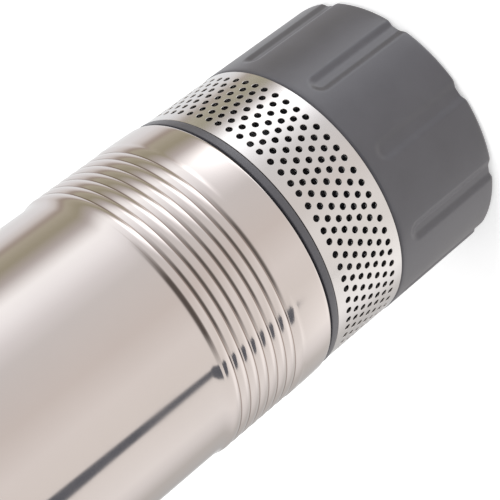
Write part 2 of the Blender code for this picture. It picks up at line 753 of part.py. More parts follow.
def suction_body():
    """Flange, spigot and suction plate, with the bush's hub on arms and the foot's posts."""
    bore = CASING_FIT - SPIGOT_WALL
    groove = CASING_BOTTOM + SEAL_GROOVE_OFFSET
    plate_bottom = SUCTION_TOP - SUCTION_PLATE
    outline = [(bore, RING_BOTTOM - LIP_HEIGHT), (STRAINER_FIT, RING_BOTTOM - LIP_HEIGHT),
               (STRAINER_FIT, RING_BOTTOM), (RING_RADIUS, RING_BOTTOM),
               (RING_RADIUS, CASING_BOTTOM - SEAT_GAP), (CASING_FIT, CASING_BOTTOM - SEAT_GAP)]
    outline += seal_groove(groove, CASING_FIT)
    outline += [(CASING_FIT, SUCTION_TOP), (EYE_RADIUS, SUCTION_TOP),
                (EYE_RADIUS, plate_bottom), (bore, plate_bottom)]
    made = node("suction_body", turned(outline, LARGE_SIDES), grey_plastic())
    arm_top = SUCTION_TOP - NECK_DEPTH - 2.0 * RUN_GAP
    arm = block((HUB_RADIUS - FUSE_DEPTH, bore + FUSE_DEPTH), (-ARM_WIDTH / 2.0, ARM_WIDTH / 2.0),
                (arm_top - ARM_HEIGHT, arm_top))
    fuse(made, around(arm, SCREW_COUNT, SCREW_FIRST_ANGLE))
    bush_bore = outside(BUSH_RADIUS, SMALL_SIDES)
    fuse(made, ring(bush_bore, HUB_RADIUS, arm_top - HUB_HEIGHT, arm_top, SMALL_SIDES))
    post = disc(POST_RADIUS, FOOT_TOP + SEAT_GAP, plate_bottom + FUSE_DEPTH, TINY_SIDES)
    fuse(made, around(moved(post, x=SCREW_CIRCLE_RADIUS), SCREW_COUNT, SCREW_FIRST_ANGLE))
    pilot_top = (FOOT_TOP - FOOT_DECK - FOOT_BOSS_HEIGHT + SCREW_LENGTH) + SEAT_GAP
    pilot = disc(outside(SCREW_RADIUS, TINY_SIDES), FOOT_TOP, pilot_top, TINY_SIDES)
    cut(made, around(moved(pilot, x=SCREW_CIRCLE_RADIUS), SCREW_COUNT, SCREW_FIRST_ANGLE))
    casing_seal("casing_seal_lower", groove)
    bush_inner = outside(JOURNAL_RADIUS, SMALL_SIDES, SEAT_GAP / 2.0)
    node("lower_bush", ring(bush_inner, BUSH_RADIUS, 0.0, HUB_HEIGHT, SMALL_SIDES), rubber(),
         z=arm_top - HUB_HEIGHT)
    return made


def casing_tube():
    """Steel tube. Its lower edge is rolled in, and its top rim is rolled over the head."""
    crest = CASING_BOTTOM + COLLAR_CREST_SHARE * COLLAR_HEIGHT
    shoulder = CASING_BOTTOM + COLLAR_SHOULDER_SHARE * COLLAR_HEIGHT
    edge = [(CASING_BORE, CASING_BOTTOM + 2.0 * TUBE_EDGE), (CASING_BORE + TUBE_EDGE, CASING_BOTTOM),
            (VALLEY_RADIUS, CASING_BOTTOM + 2.0 * TUBE_EDGE),
            (COLLAR_RADIUS - COLLAR_LEAD_DROP, CASING_BOTTOM + COLLAR_LEAD),
            (COLLAR_RADIUS, crest), (COLLAR_RADIUS - COLLAR_SHOULDER_DROP, shoulder),
            (VALLEY_RADIUS, CASING_BOTTOM + COLLAR_HEIGHT)]
    ridges = []
    for index in range(RIDGE_COUNT):
        bottom = CASING_BOTTOM + COLLAR_HEIGHT + index * RIDGE_PITCH
        ridges.append((RIDGE_RADIUS, bottom + RIDGE_PITCH / 2.0))
        ridges.append((VALLEY_RADIUS, bottom + RIDGE_PITCH))
    tube_bottom = CASING_BOTTOM + COLLAR_HEIGHT + RIDGE_COUNT * RIDGE_PITCH + TUBE_RUN_OUT
    top = [(TUBE_RADIUS, tube_bottom), (TUBE_RADIUS, CASING_TOP - RIM_THICKNESS / 2.0),
           (TUBE_RADIUS - RIM_THICKNESS / 2.0, CASING_TOP), (RIM_BORE, CASING_TOP),
           (RIM_BORE, CASING_TOP - RIM_THICKNESS), (CASING_BORE, CASING_TOP - RIM_THICKNESS)]
    return node("casing_tube", turned(edge + ridges + top, LARGE_SIDES), polished_steel())


# Stages

def impeller_neck_radius():
    return inside(EYE_RADIUS, MEDIUM_SIDES, RUN_GAP)


def impellers():
    """Closed impellers on the hexagon of the shaft, each with its blades between two shrouds."""
    back_bottom = SHROUD_THICKNESS + BLADE_HEIGHT
    back_top = back_bottom + SHROUD_THICKNESS
    hub_length = STAGE_PITCH - SEAT_GAP
    neck = impeller_neck_radius()
    body = [(0.0, 0.0), (IMPELLER_HUB_RADIUS, 0.0), (IMPELLER_HUB_RADIUS, back_bottom),
            (IMPELLER_RADIUS, back_bottom), (IMPELLER_RADIUS, back_top),
            (IMPELLER_HUB_RADIUS, back_top), (IMPELLER_HUB_RADIUS, hub_length), (0.0, hub_length)]
    front = [(neck - NECK_WALL, -IMPELLER_LIFT - NECK_DEPTH), (neck, -IMPELLER_LIFT - NECK_DEPTH),
             (neck, 0.0), (IMPELLER_RADIUS, 0.0), (IMPELLER_RADIUS, SHROUD_THICKNESS),
             (neck - NECK_WALL, SHROUD_THICKNESS)]
    first = node("impeller_1", turned(body, SMALL_SIDES), stage_plastic(), z=IMPELLER_BOTTOM)
    fuse(first, turned(front, SMALL_SIDES))
    line = vane_outline(neck - 2.0 * NECK_WALL, IMPELLER_RADIUS - FUSE_DEPTH, -BLADE_SWEEP,
                        BLADE_THICKNESS, 2)
    blade = prism(line, SHROUD_THICKNESS - FUSE_DEPTH, back_bottom + FUSE_DEPTH)
    fuse(first, around(blade, BLADE_COUNT))
    bore = prism(hexagon(HEX_FLATS + 2.0 * SEAT_GAP), -FUSE_DEPTH, hub_length + FUSE_DEPTH)
    cut(first, bore)
    for index in range(1, STAGE_COUNT):
        copy_of(first, f"impeller_{index + 1}", IMPELLER_BOTTOM + index * STAGE_PITCH)


def diffusers():
    """Stage bowls: wall, partition round the impeller's hub, return vanes and the next eye."""
    height = STAGE_PITCH - SEAT_GAP
    bore = CASING_FIT - BOWL_WALL
    top = height - BOWL_TOP
    wall = [(bore, 0.0), (CASING_FIT, 0.0), (CASING_FIT, height), (EYE_RADIUS, height),
            (EYE_RADIUS, top), (bore, top)]
    first = node("diffuser_1", turned(wall, MEDIUM_SIDES), stage_plastic(), z=STAGE_BOTTOM)
    line = vane_outline(EYE_RADIUS + BOWL_TOP, bore + FUSE_DEPTH, RETURN_VANE_SWEEP,
                        RETURN_VANE_THICKNESS, 2)
    partition_top = PARTITION_HEIGHT + PARTITION_THICKNESS
    vane = prism(line, partition_top - FUSE_DEPTH, top + FUSE_DEPTH)
    fuse(first, around(vane, RETURN_VANE_COUNT))
    hub_bore = outside(IMPELLER_HUB_RADIUS, SMALL_SIDES, RUN_GAP)
    fuse(first, ring(hub_bore, PARTITION_RADIUS, PARTITION_HEIGHT, partition_top, SMALL_SIDES))
    for index in range(1, STAGE_COUNT):
        copy_of(first, f"diffuser_{index + 1}", STAGE_BOTTOM + index * STAGE_PITCH)


# Shaft and what clamps the impellers on it

def shaft():
    """Threaded end, hexagon for the impellers, and the round part that carries the rotor."""
    thread_top = IMPELLER_BOTTOM
    tip = SUCTION_TOP - NECK_DEPTH - 2.0 * RUN_GAP - HUB_HEIGHT - NUT_HEIGHT - 2.0 * SHAFT_TIP
    thread = on_circle(SHAFT_THREAD_RADIUS, HEX_SIDES)
    hexed = hexagon(HEX_FLATS)
    plain = on_circle(SHAFT_RADIUS, HEX_SIDES)
    top = UPPER_POCKET_TOP - WASHER_SPACE
    stations = [(thread, tip), (thread, thread_top), (hexed, thread_top), (hexed, SHOULDER),
                (plain, SHOULDER), (plain, top)]
    loops = [[(x, y, height) for x, y in outline] for outline, height in stations]
    node("shaft", lofted(loops), steel())
    sleeve_bottom = SUCTION_TOP - NECK_DEPTH - 2.0 * RUN_GAP - HUB_HEIGHT - SHAFT_TIP / 2.0
    sleeve_bore = outside(SHAFT_THREAD_RADIUS, SMALL_SIDES)
    node("journal_sleeve", ring(sleeve_bore, JOURNAL_RADIUS, 0.0,
                                IMPELLER_BOTTOM - SEAT_GAP - sleeve_bottom, SMALL_SIDES),
         steel(), z=sleeve_bottom)
    nut_bore = on_circle(outside(SHAFT_THREAD_RADIUS, HEX_SIDES), HEX_SIDES)
    node("shaft_nut", tube_between(hexagon(NUT_FLATS), nut_bore, 0.0, NUT_HEIGHT), steel(),
         z=sleeve_bottom - SEAT_GAP - NUT_HEIGHT)


# Bearings and seals

def ball_set(name, bottom):
    """Balls in their cage, as one ring whose section swells at each ball."""
    stations = BALL_COUNT * 3
    sides = 4
    shape = bmesh.new()
    rings = []
    for step in range(stations):
        angle = FULL_TURN * step / stations
        at_ball = step % 3 == 0
        size = BALL_RADIUS if at_ball else CAGE_HALF_WIDTH
        points = []
        for corner in range(sides):
            turn = FULL_TURN * corner / sides
            radius = BALL_CIRCLE_RADIUS + size * math.cos(turn)
            points.append(shape.verts.new((radius * math.cos(angle), radius * math.sin(angle),
                                           BEARING_WIDTH / 2.0 + size * math.sin(turn))))
        rings.append(points)
    for here, there in zip(rings, rings[1:] + rings[:1]):
        for index in range(sides):
            after = (index + 1) % sides
            shape.faces.new((here[index], here[after], there[after], there[index]))
    return node(name, shape, steel(), z=bottom)


def bearing(place, bottom):
    """Outer race, inner race and balls of one ball bearing."""
    race_bore = BEARING_RADIUS - BEARING_OUTER_WALL
    node(f"{place}_bearing_outer", ring(race_bore, BEARING_RADIUS, 0.0, BEARING_WIDTH,
                                        SMALL_SIDES), steel(), z=bottom)
    node(f"{place}_bearing_inner", ring(SHAFT_BORE, BEARING_INNER_RADIUS, 0.0, BEARING_WIDTH,
                                        SMALL_SIDES), steel(), z=bottom)
    ball_set(f"{place}_bearing_balls", bottom)


def shaft_seals():
    """Mechanical seal below, lip seal above it, both in the lower bracket's bore."""
    run = outside(SHAFT_RADIUS, SMALL_SIDES, RUN_GAP)
    seat_bottom = FLANGE_BOTTOM + SEAT_GAP
    node("seal_seat", ring(run, SEAL_RADIUS, 0.0, SEAL_SEAT_HEIGHT, SMALL_SIDES), ceramic(),
         z=seat_bottom)
    lip_bottom = seat_bottom + SEAL_SEAT_HEIGHT + SEAT_GAP
    lip = [(run, 0.0), (SEAL_RADIUS, 0.0), (SEAL_RADIUS, LIP_SEAL_HEIGHT),
           (SEAL_RADIUS - LIP_SEAL_WALL, LIP_SEAL_HEIGHT),
           (SEAL_RADIUS - LIP_SEAL_WALL, LIP_SEAL_WALL), (run, LIP_SEAL_WALL)]
    node("lip_seal", turned(lip, SMALL_SIDES), rubber(), z=lip_bottom)
    head_top = seat_bottom - SEAT_GAP
    head = [(SHAFT_BORE, 0.0), (SEAL_RADIUS, 0.0),
            (SEAL_RADIUS, SEAL_HEAD_HEIGHT - SEAL_HEAD_CHAMFER_HEIGHT),
            (SEAL_RADIUS - SEAL_HEAD_CHAMFER, SEAL_HEAD_HEIGHT), (SHAFT_BORE, SEAL_HEAD_HEIGHT)]
    node("seal_head", turned(head, SMALL_SIDES), ceramic(), z=head_top - SEAL_HEAD_HEIGHT)


def wave_washer():
    """Springy washer between the upper race and the bottom of its pocket."""
    outer = BEARING_RADIUS - SEAT_GAP
    shape = ring(outer - WASHER_WIDTH, outer, 0.0, WASHER_THICKNESS, MEDIUM_SIDES)
    for vert in shape.verts:
        vert.co.z += WASHER_WAVE * (1.0 + math.cos(3.0 * math.atan2(vert.co.y, vert.co.x)))
    node("wave_washer", shape, steel(), z=UPPER_BEARING + BEARING_WIDTH + SEAT_GAP / 2.0)


# Motor

def lower_bracket():
    """Lower end shield: feet on the last stage, seal bore, bearing pocket and shell spigot."""
    boss = BEARING_BORE + BOSS_WALL
    flange_top = FLANGE_BOTTOM + BRACKET_FLANGE
    outline = [(SEAL_BORE, FLANGE_BOTTOM), (SHELL_RADIUS, FLANGE_BOTTOM),
               (SHELL_RADIUS, flange_top), (SHELL_FIT, flange_top), (SHELL_FIT, LOWER_SPIGOT_TOP),
               (boss, LOWER_CONE_TOP), (boss, LOWER_BOSS_TOP), (BEARING_BORE, LOWER_BOSS_TOP),
               (BEARING_BORE, LOWER_POCKET_BOTTOM), (SEAL_BORE, LOWER_POCKET_BOTTOM)]
    made = node("lower_bracket", turned(outline, MEDIUM_SIDES), aluminium())
    lug = block((SHELL_FIT - LUG_ROOT, CASING_FIT - SEAT_GAP), (-LUG_WIDTH / 2.0, LUG_WIDTH / 2.0),
                (STACK_TOP, flange_top - SEAT_GAP))
    return fuse(made, around(lug, LUG_COUNT))


def upper_bracket():
    """Upper end shield: plate with a hanging boss for the upper bearing."""
    boss = BEARING_BORE + BOSS_WALL
    outline = [(0.0, UPPER_POCKET_TOP), (BEARING_BORE, UPPER_POCKET_TOP),
               (BEARING_BORE, UPPER_BOSS_BOTTOM), (boss, UPPER_BOSS_BOTTOM),
               (boss, UPPER_PLATE_BOTTOM), (SHELL_FIT, UPPER_PLATE_BOTTOM),
               (SHELL_FIT, UPPER_PLATE_TOP), (0.0, UPPER_PLATE_TOP)]
    return node("upper_bracket", turned(outline, MEDIUM_SIDES), aluminium())


def winding(name, bottom):
    """End turns of the stator, a rounded ring."""
    inner, outer = WINDING_INNER_RADIUS, WINDING_OUTER_RADIUS
    corner = WINDING_HEIGHT / 4.0
    outline = [(inner, 0.0), (outer, 0.0), (outer, WINDING_HEIGHT - corner),
               (outer - corner, WINDING_HEIGHT), (inner, WINDING_HEIGHT)]
    return node(name, turned(outline, SMALL_SIDES), copper(), z=bottom)


def motor():
    """Shell, stator, windings and the cage rotor."""
    node("motor_shell", ring(SHELL_BORE, SHELL_RADIUS, SHELL_BOTTOM, SHELL_TOP, MEDIUM_SIDES),
         satin_steel())
    node("stator_core", ring(STATOR_INNER_RADIUS, SHELL_FIT, 0.0, STATOR_LENGTH, MEDIUM_SIDES),
         laminations(), z=STATOR_BOTTOM)
    winding("lower_winding", LOWER_WINDING)
    winding("upper_winding", UPPER_WINDING)
    node("rotor_core", ring(SHAFT_BORE, ROTOR_RADIUS, 0.0, STATOR_LENGTH, SMALL_SIDES),
         laminations(), z=STATOR_BOTTOM)
    end_ring = ring(END_RING_INNER_RADIUS, END_RING_RADIUS, 0.0, END_RING_HEIGHT, SMALL_SIDES)
    lower = node("lower_end_ring", end_ring, aluminium(),
                 z=STATOR_BOTTOM - SEAT_GAP - END_RING_HEIGHT)
    copy_of(lower, "upper_end_ring", STATOR_TOP + SEAT_GAP)


def motor_electrics():
    """Capacitor and terminals on the upper bracket, and the protector on the winding."""
    seat = UPPER_PLATE_TOP + SEAT_GAP
    can = [(0.0, 0.0), (CAPACITOR_RADIUS, 0.0),
           (CAPACITOR_RADIUS, CAPACITOR_LENGTH - CAPACITOR_EDGE),
           (CAPACITOR_RADIUS - CAPACITOR_EDGE, CAPACITOR_LENGTH), (0.0, CAPACITOR_LENGTH)]
    node("capacitor", turned(can, SMALL_SIDES), aluminium(), y=-CAPACITOR_OFFSET, z=seat)
    width, depth, height = TERMINAL_SIZE
    terminals = block((-width / 2.0, width / 2.0), (-depth / 2.0, depth / 2.0), (0.0, height))
    node("terminal_block", terminals, grey_plastic(), y=TERMINAL_OFFSET, z=seat)
    width, depth = PROTECTOR_SIZE
    protector = block((-width / 2.0, width / 2.0), (-depth / 2.0, depth / 2.0),
                      (0.0, WINDING_CLEARANCE - 2.0 * SEAT_GAP))
    middle = (BEARING_BORE + BOSS_WALL + WINDING_OUTER_RADIUS) / 2.0
    node("thermal_protector", protector, grey_plastic(), y=middle,
         z=UPPER_WINDING + WINDING_HEIGHT + SEAT_GAP)


def motor_cover():
    """Lid of the motor, with lugs that centre it in the casing and carry the head."""
    spigot_bore = SHELL_FIT - COVER_SPIGOT_WALL
    outline = [(0.0, COVER_BOTTOM), (spigot_bore, COVER_BOTTOM),
               (spigot_bore, COVER_BOTTOM - COVER_SPIGOT), (SHELL_FIT, COVER_BOTTOM - COVER_SPIGOT)]
    outline += seal_groove(COVER_BOTTOM - SEAL_GROOVE_OFFSET, SHELL_FIT)
    outline += [(SHELL_FIT, COVER_BOTTOM), (SHELL_RADIUS, COVER_BOTTOM),
                (SHELL_RADIUS, COVER_TOP - COVER_DOME), (SHELL_RADIUS / 2.0, COVER_TOP),
                (0.0, COVER_TOP)]
    made = node("motor_cover", turned(outline, MEDIUM_SIDES), aluminium())
    lug_top = COVER_BOTTOM + COVER_LUG_HEIGHT
    lug = block((SHELL_RADIUS - LUG_ROOT, CASING_FIT - SEAT_GAP),
                (-LUG_WIDTH / 2.0, LUG_WIDTH / 2.0), (COVER_BOTTOM + SEAT_GAP, lug_top))
    fuse(made, around(lug, COVER_LUG_COUNT, SCREW_FIRST_ANGLE))
    socket = disc(outside(CONDUIT_RADIUS, TINY_SIDES), COVER_BOTTOM - FUSE_DEPTH,
                  COVER_TOP + FUSE_DEPTH, TINY_SIDES)
    cut(made, moved(socket, y=conduit_offset()))
    low = SEAT_GAP
    high = SEAL_GROOVE_HEIGHT - SEAT_GAP
    inner = outside(SHELL_FIT - SEAL_GROOVE_DEPTH, MEDIUM_SIDES)
    seal = [(inner, (low + high) / 2.0), ((inner + SHELL_FIT) / 2.0, low),
            (SHELL_FIT, (low + high) / 2.0), ((inner + SHELL_FIT) / 2.0, high)]
    node("cover_seal", turned(seal, MEDIUM_SIDES), rubber(), z=COVER_BOTTOM - SEAL_GROOVE_OFFSET)


def conduit_offset():
    """The conduit stands beside the gland's axis, as far out as the cover's spigot lets it."""
    return SHELL_FIT - COVER_SPIGOT_WALL - outside(CONDUIT_RADIUS, TINY_SIDES) - SEAT_GAP


def cable_conduit():
    """Pipe that leads the cable dry from the motor to the gland."""
    bottom = COVER_BOTTOM
    top = HEAD_FLANGE_TOP - GLAND_COLUMN_DROP + CONDUIT_SOCKET - SEAT_GAP
    bore = CONDUIT_RADIUS - CONDUIT_WALL
    node("cable_conduit", ring(bore, CONDUIT_RADIUS, 0.0, top - bottom, TINY_SIDES),
         steel(), y=conduit_offset(), z=bottom)


# Discharge head

def discharge_head():
    """Moulded head: spigot in the casing, dome, outlet boss, rope ears and gland column."""
    floor = HEAD_FLANGE_TOP
    bore = CASING_FIT - HEAD_SPIGOT_WALL
    neck = inside(RIM_BORE, LARGE_SIDES)
    valve_bottom = floor + VALVE_BORE_BOTTOM
    insert_bottom = HEAD_TOP - INSERT_LENGTH - SEAT_GAP
    insert_bore = outside(INSERT_RADIUS, MEDIUM_SIDES)
    outline = [(bore, HEAD_BOTTOM), (CASING_FIT, HEAD_BOTTOM)]
    outline += seal_groove(HEAD_BOTTOM + HEAD_SEAL_OFFSET, CASING_FIT)
    outline += [(CASING_FIT, floor), (neck, floor), (neck, floor + HEAD_NECK_HEIGHT),
                (HEAD_SHOULDER_RADIUS, floor + HEAD_SHOULDER_RISE),
                (OUTLET_BOSS_RADIUS, floor + HEAD_CONE_RISE), (OUTLET_BOSS_RADIUS, HEAD_TOP),
                (insert_bore, HEAD_TOP), (insert_bore, insert_bottom),
                (VALVE_BORE_RADIUS, insert_bottom), (VALVE_BORE_RADIUS, valve_bottom),
                (bore, floor - HEAD_NECK_HEIGHT)]
    made = node("discharge_head", turned(outline, MEDIUM_SIDES), grey_plastic())
    for side in (-1.0, 1.0):
        fuse(made, rope_ear(side, floor))
    column_bottom = floor - GLAND_COLUMN_DROP
    top = floor + GLAND_HEIGHT
    column = disc(GLAND_COLUMN_RADIUS, column_bottom, top, SMALL_SIDES)
    fuse(made, moved(column, y=GLAND_OFFSET))
    column = disc(CONDUIT_RADIUS + CONDUIT_WALL, column_bottom, floor, SMALL_SIDES)
    fuse(made, moved(column, y=conduit_offset()))
    passage = CONDUIT_RADIUS - CONDUIT_WALL
    cross_bottom = column_bottom + CONDUIT_SOCKET
    drill(made, passage, GLAND_OFFSET, cross_bottom, top)
    drill(made, passage, conduit_offset(), cross_bottom, cross_bottom + CONDUIT_SOCKET)
    drill(made, outside(CONDUIT_RADIUS, TINY_SIDES), conduit_offset(),
          column_bottom - FUSE_DEPTH, cross_bottom)
    drill(made, outside(GLAND_BUSH_RADIUS, TINY_SIDES), GLAND_OFFSET,
          top - GLAND_BUSH_LENGTH, top + FUSE_DEPTH)
    casing_seal("casing_seal_upper", HEAD_BOTTOM + HEAD_SEAL_OFFSET)
    return made


def drill(target, radius, offset, bottom, top):
    """Vertical hole at a distance from the axis along Y."""
    cut(target, moved(disc(radius, bottom, top, TINY_SIDES), y=offset))


def rope_ear(side, floor):
    """Upright lug beside the outlet, with rounded corners and a hole for the rope."""
    inner = OUTLET_BOSS_RADIUS - 2.0 * FUSE_DEPTH
    low = floor + HEAD_NECK_HEIGHT
    high = floor + EAR_TOP
    outline = [(inner, low), (HEAD_SHOULDER_RADIUS, low), (EAR_OUTER, floor + HEAD_SHOULDER_RISE),
               (EAR_OUTER, high - EAR_CORNER), (EAR_OUTER - EAR_CORNER, high), (inner, high)]
    hole = [(EAR_HOLE_OFFSET + x, floor + EAR_HOLE_HEIGHT + z)
            for x, z in on_circle(EAR_HOLE_RADIUS, TINY_SIDES)]
    half = EAR_THICKNESS / 2.0
    plate = upright(outline, half)
    target = node("ear", plate, grey_plastic())
    cut(target, upright(hole, half + FUSE_DEPTH))
    shape = bmesh.new()
    shape.from_mesh(target.data)
    bpy.data.objects.remove(target, do_unlink=True)
    bmesh.ops.scale(shape, vec=(side / MM, side / MM, 1.0 / MM), verts=shape.verts)
    return shape


def upright(outline, half):
    """Prism of an XZ outline, from -half to half along Y."""
    shape = prism(outline, -half, half)
    bmesh.ops.rotate(shape, cent=(0, 0, 0), matrix=Matrix.Rotation(math.pi / 2.0, 3, "X"),
                     verts=shape.verts)
    return shape


def outlet_insert():
    """Threaded sleeve of the outlet, G1 female."""
    node("outlet_insert", ring(OUTLET_RADIUS, INSERT_RADIUS, 0.0, INSERT_LENGTH, MEDIUM_SIDES),
         brass(), z=HEAD_TOP - INSERT_LENGTH)


def check_valve():
    """Seat, closing plate with its washer, spring and guide cage, all in the head's bore."""
    seat_bottom = HEAD_FLANGE_TOP + VALVE_BORE_BOTTOM
    washer_bottom = seat_bottom + VALVE_SEAT_HEIGHT + SEAT_GAP
    plate_bottom = washer_bottom + VALVE_WASHER_THICKNESS + SEAT_GAP
    spring_bottom = plate_bottom + VALVE_PLATE + SEAT_GAP
    cage_bottom = spring_bottom + VALVE_SPRING_LENGTH + SEAT_GAP
    stem_bore = outside(VALVE_STEM_RADIUS, TINY_SIDES)
    node("valve_seat", ring(VALVE_SEAT_INNER_RADIUS, VALVE_FIT, 0.0, VALVE_SEAT_HEIGHT,
                            MEDIUM_SIDES), brass(), z=seat_bottom)
    node("valve_washer", ring(stem_bore, VALVE_RADIUS, 0.0, VALVE_WASHER_THICKNESS, SMALL_SIDES),
         rubber(), z=washer_bottom)
    stem_top = cage_bottom + VALVE_CAGE_HEIGHT - plate_bottom
    stem_bottom = seat_bottom + SEAT_GAP - plate_bottom
    poppet = [(0.0, stem_bottom), (VALVE_STEM_RADIUS, stem_bottom), (VALVE_STEM_RADIUS, 0.0),
              (VALVE_RADIUS, 0.0), (VALVE_RADIUS, VALVE_PLATE), (VALVE_STEM_RADIUS, VALVE_PLATE),
              (VALVE_STEM_RADIUS, stem_top), (0.0, stem_top)]
    node("valve_poppet", turned(poppet, SMALL_SIDES), brass(), z=plate_bottom)
    node("valve_spring", coil(), steel(), z=spring_bottom)
    cage = ring(VALVE_FIT - VALVE_CAGE_WALL, VALVE_FIT, 0.0, VALVE_CAGE_HEIGHT, MEDIUM_SIDES)
    made = node("valve_cage", cage, brass(), z=cage_bottom)
    arm = block((VALVE_CAGE_HUB_RADIUS - FUSE_DEPTH, VALVE_FIT - VALVE_CAGE_WALL / 2.0),
                (-VALVE_CAGE_ARM / 2.0, VALVE_CAGE_ARM / 2.0), (FUSE_DEPTH, VALVE_CAGE_HEIGHT))
    fuse(made, around(arm, 3))
    fuse(made, ring(stem_bore, VALVE_CAGE_HUB_RADIUS, 0.0, VALVE_CAGE_HEIGHT, TINY_SIDES))


def coil():
    """Spring wire along a helix, with square cut ends."""
    per_turn = 8
    sides = 4
    steps = VALVE_SPRING_TURN_COUNT * per_turn
    rise = VALVE_SPRING_LENGTH - 2.0 * VALVE_SPRING_WIRE
    loops = []
    for step in range(steps + 1):
        angle = FULL_TURN * step / per_turn
        height = VALVE_SPRING_WIRE + rise * step / steps
        loop = []
        for corner in range(sides):
            turn = FULL_TURN * corner / sides
            radius = VALVE_SPRING_RADIUS + VALVE_SPRING_WIRE * math.cos(turn)
            loop.append((radius * math.cos(angle), radius * math.sin(angle),
                         height + VALVE_SPRING_WIRE * math.sin(turn)))
        loops.append(loop)
    return lofted(loops)


def cable_gland():
    """Rubber bush, washer and clamping nut over the gland column."""
    top = HEAD_FLANGE_TOP + GLAND_HEIGHT
    offset = GLAND_OFFSET
    bush_bottom = top - GLAND_BUSH_LENGTH + SEAT_GAP
    node("gland_bush", ring(CABLE_HOLE_RADIUS, GLAND_BUSH_RADIUS, 0.0,
                            GLAND_BUSH_LENGTH - SEAT_GAP, TINY_SIDES), rubber(),
         y=offset, z=bush_bottom)
    washer_bottom = top + SEAT_GAP
    node("gland_washer", ring(CABLE_HOLE_RADIUS + SEAT_GAP, GLAND_NUT_FLATS / 2.0 - SEAT_GAP, 0.0,
                              GLAND_WASHER, TINY_SIDES), steel(), y=offset, z=washer_bottom)
    nut_bore = on_circle(CABLE_HOLE_RADIUS + SEAT_GAP, HEX_SIDES)
    node("gland_nut", tube_between(hexagon(GLAND_NUT_FLATS), nut_bore, 0.0, GLAND_NUT_HEIGHT),
         grey_plastic(), y=offset, z=washer_bottom + GLAND_WASHER + SEAT_GAP)


def clear_scene():
    for thing in list(bpy.data.objects):
        bpy.data.objects.remove(thing, do_unlink=True)


def build():
    clear_scene()
    foot()
    foot_screws()
    strainer()
    suction_body()
    casing_tube()
    diffusers()
    impellers()
    shaft()
    lower_bracket()
    shaft_seals()
    bearing("lower", LOWER_BEARING)
    bearing("upper", UPPER_BEARING)
    wave_washer()
    upper_bracket()
    motor()
    motor_electrics()
    motor_cover()
    cable_conduit()
    discharge_head()
    outlet_insert()
    check_valve()
    cable_gland()


build()
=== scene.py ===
# %% [markdown]
# # A borehole pump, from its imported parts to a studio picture
#
# The pump stands on its foot: a grooved plastic cup, a perforated strainer, a dark ring and a
# long steel casing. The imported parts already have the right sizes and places, but few sides.
# Here the outer parts are modelled again as finely as the eye needs, every part gets the finish
# of its real material, and a small studio lights them.

import json
import math

import bpy
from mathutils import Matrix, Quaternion, Vector


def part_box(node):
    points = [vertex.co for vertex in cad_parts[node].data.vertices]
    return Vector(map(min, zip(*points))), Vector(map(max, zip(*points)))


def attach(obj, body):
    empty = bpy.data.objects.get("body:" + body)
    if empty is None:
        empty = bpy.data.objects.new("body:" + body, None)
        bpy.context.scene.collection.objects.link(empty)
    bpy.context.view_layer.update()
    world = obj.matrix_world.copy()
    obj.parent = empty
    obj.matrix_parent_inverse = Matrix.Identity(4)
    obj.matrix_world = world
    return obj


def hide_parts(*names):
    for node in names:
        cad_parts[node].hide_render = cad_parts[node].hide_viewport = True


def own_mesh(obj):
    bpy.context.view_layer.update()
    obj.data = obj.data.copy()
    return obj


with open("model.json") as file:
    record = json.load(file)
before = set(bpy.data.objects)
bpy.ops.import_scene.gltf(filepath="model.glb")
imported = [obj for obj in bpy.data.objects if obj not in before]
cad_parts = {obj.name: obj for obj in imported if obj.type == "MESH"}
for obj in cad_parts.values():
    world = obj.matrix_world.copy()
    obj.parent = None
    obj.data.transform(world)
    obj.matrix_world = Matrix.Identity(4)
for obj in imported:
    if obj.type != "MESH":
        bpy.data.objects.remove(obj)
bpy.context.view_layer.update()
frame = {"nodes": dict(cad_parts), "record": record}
nodes = frame["nodes"]
bpy.ops.object.select_all(action="DESELECT")

# %% [markdown]
# ## Working in millimetres
#
# Blender counts in metres and a drawing of such a part in millimetres, so the helpers below take
# millimetres. Most of the pump was turned, rolled or moulded round, which makes one helper do
# most of the work: an outline is drawn point by point with the extrude tool and then spun about
# the pump's axis, just as a lathe would turn it.

# %% Helpers that model
MM = 0.001
FULL_TURN = 2.0 * math.pi
MERGE = 0.00001
NEAR = 0.01
CORNER_STEPS = 4
CORNER_SHARE = 0.45


def enter(mode):
    """Changes to object mode or edit mode."""
    bpy.ops.object.mode_set(mode=mode)


def alone(piece):
    """Leaves edit mode and makes one piece the only selected one, and the active one."""
    if bpy.context.mode != "OBJECT":
        enter("OBJECT")
    bpy.ops.object.select_all(action="DESELECT")
    piece.select_set(True)
    bpy.context.view_layer.objects.active = piece


def softened(outline, corner, steps=CORNER_STEPS):
    """Rounds every corner of a closed outline, as far as its neighbours leave room."""
    points = [Vector(point) for point in outline]
    smooth = []
    for index, point in enumerate(points):
        before = points[index - 1] - point
        after = points[(index + 1) % len(points)] - point
        reach = min(corner, before.length * CORNER_SHARE, after.length * CORNER_SHARE)
        start = point + before.normalized() * reach
        end = point + after.normalized() * reach
        for step in range(steps + 1):
            t = step / steps
            smooth.append((1 - t) ** 2 * start + 2 * t * (1 - t) * point + t ** 2 * end)
    return [tuple(point) for point in smooth]


def oblong(inner, outer, low, high):
    """Outline of a rectangle, which is also the section of a plain ring."""
    return [(inner, low), (outer, low), (outer, high), (inner, high)]


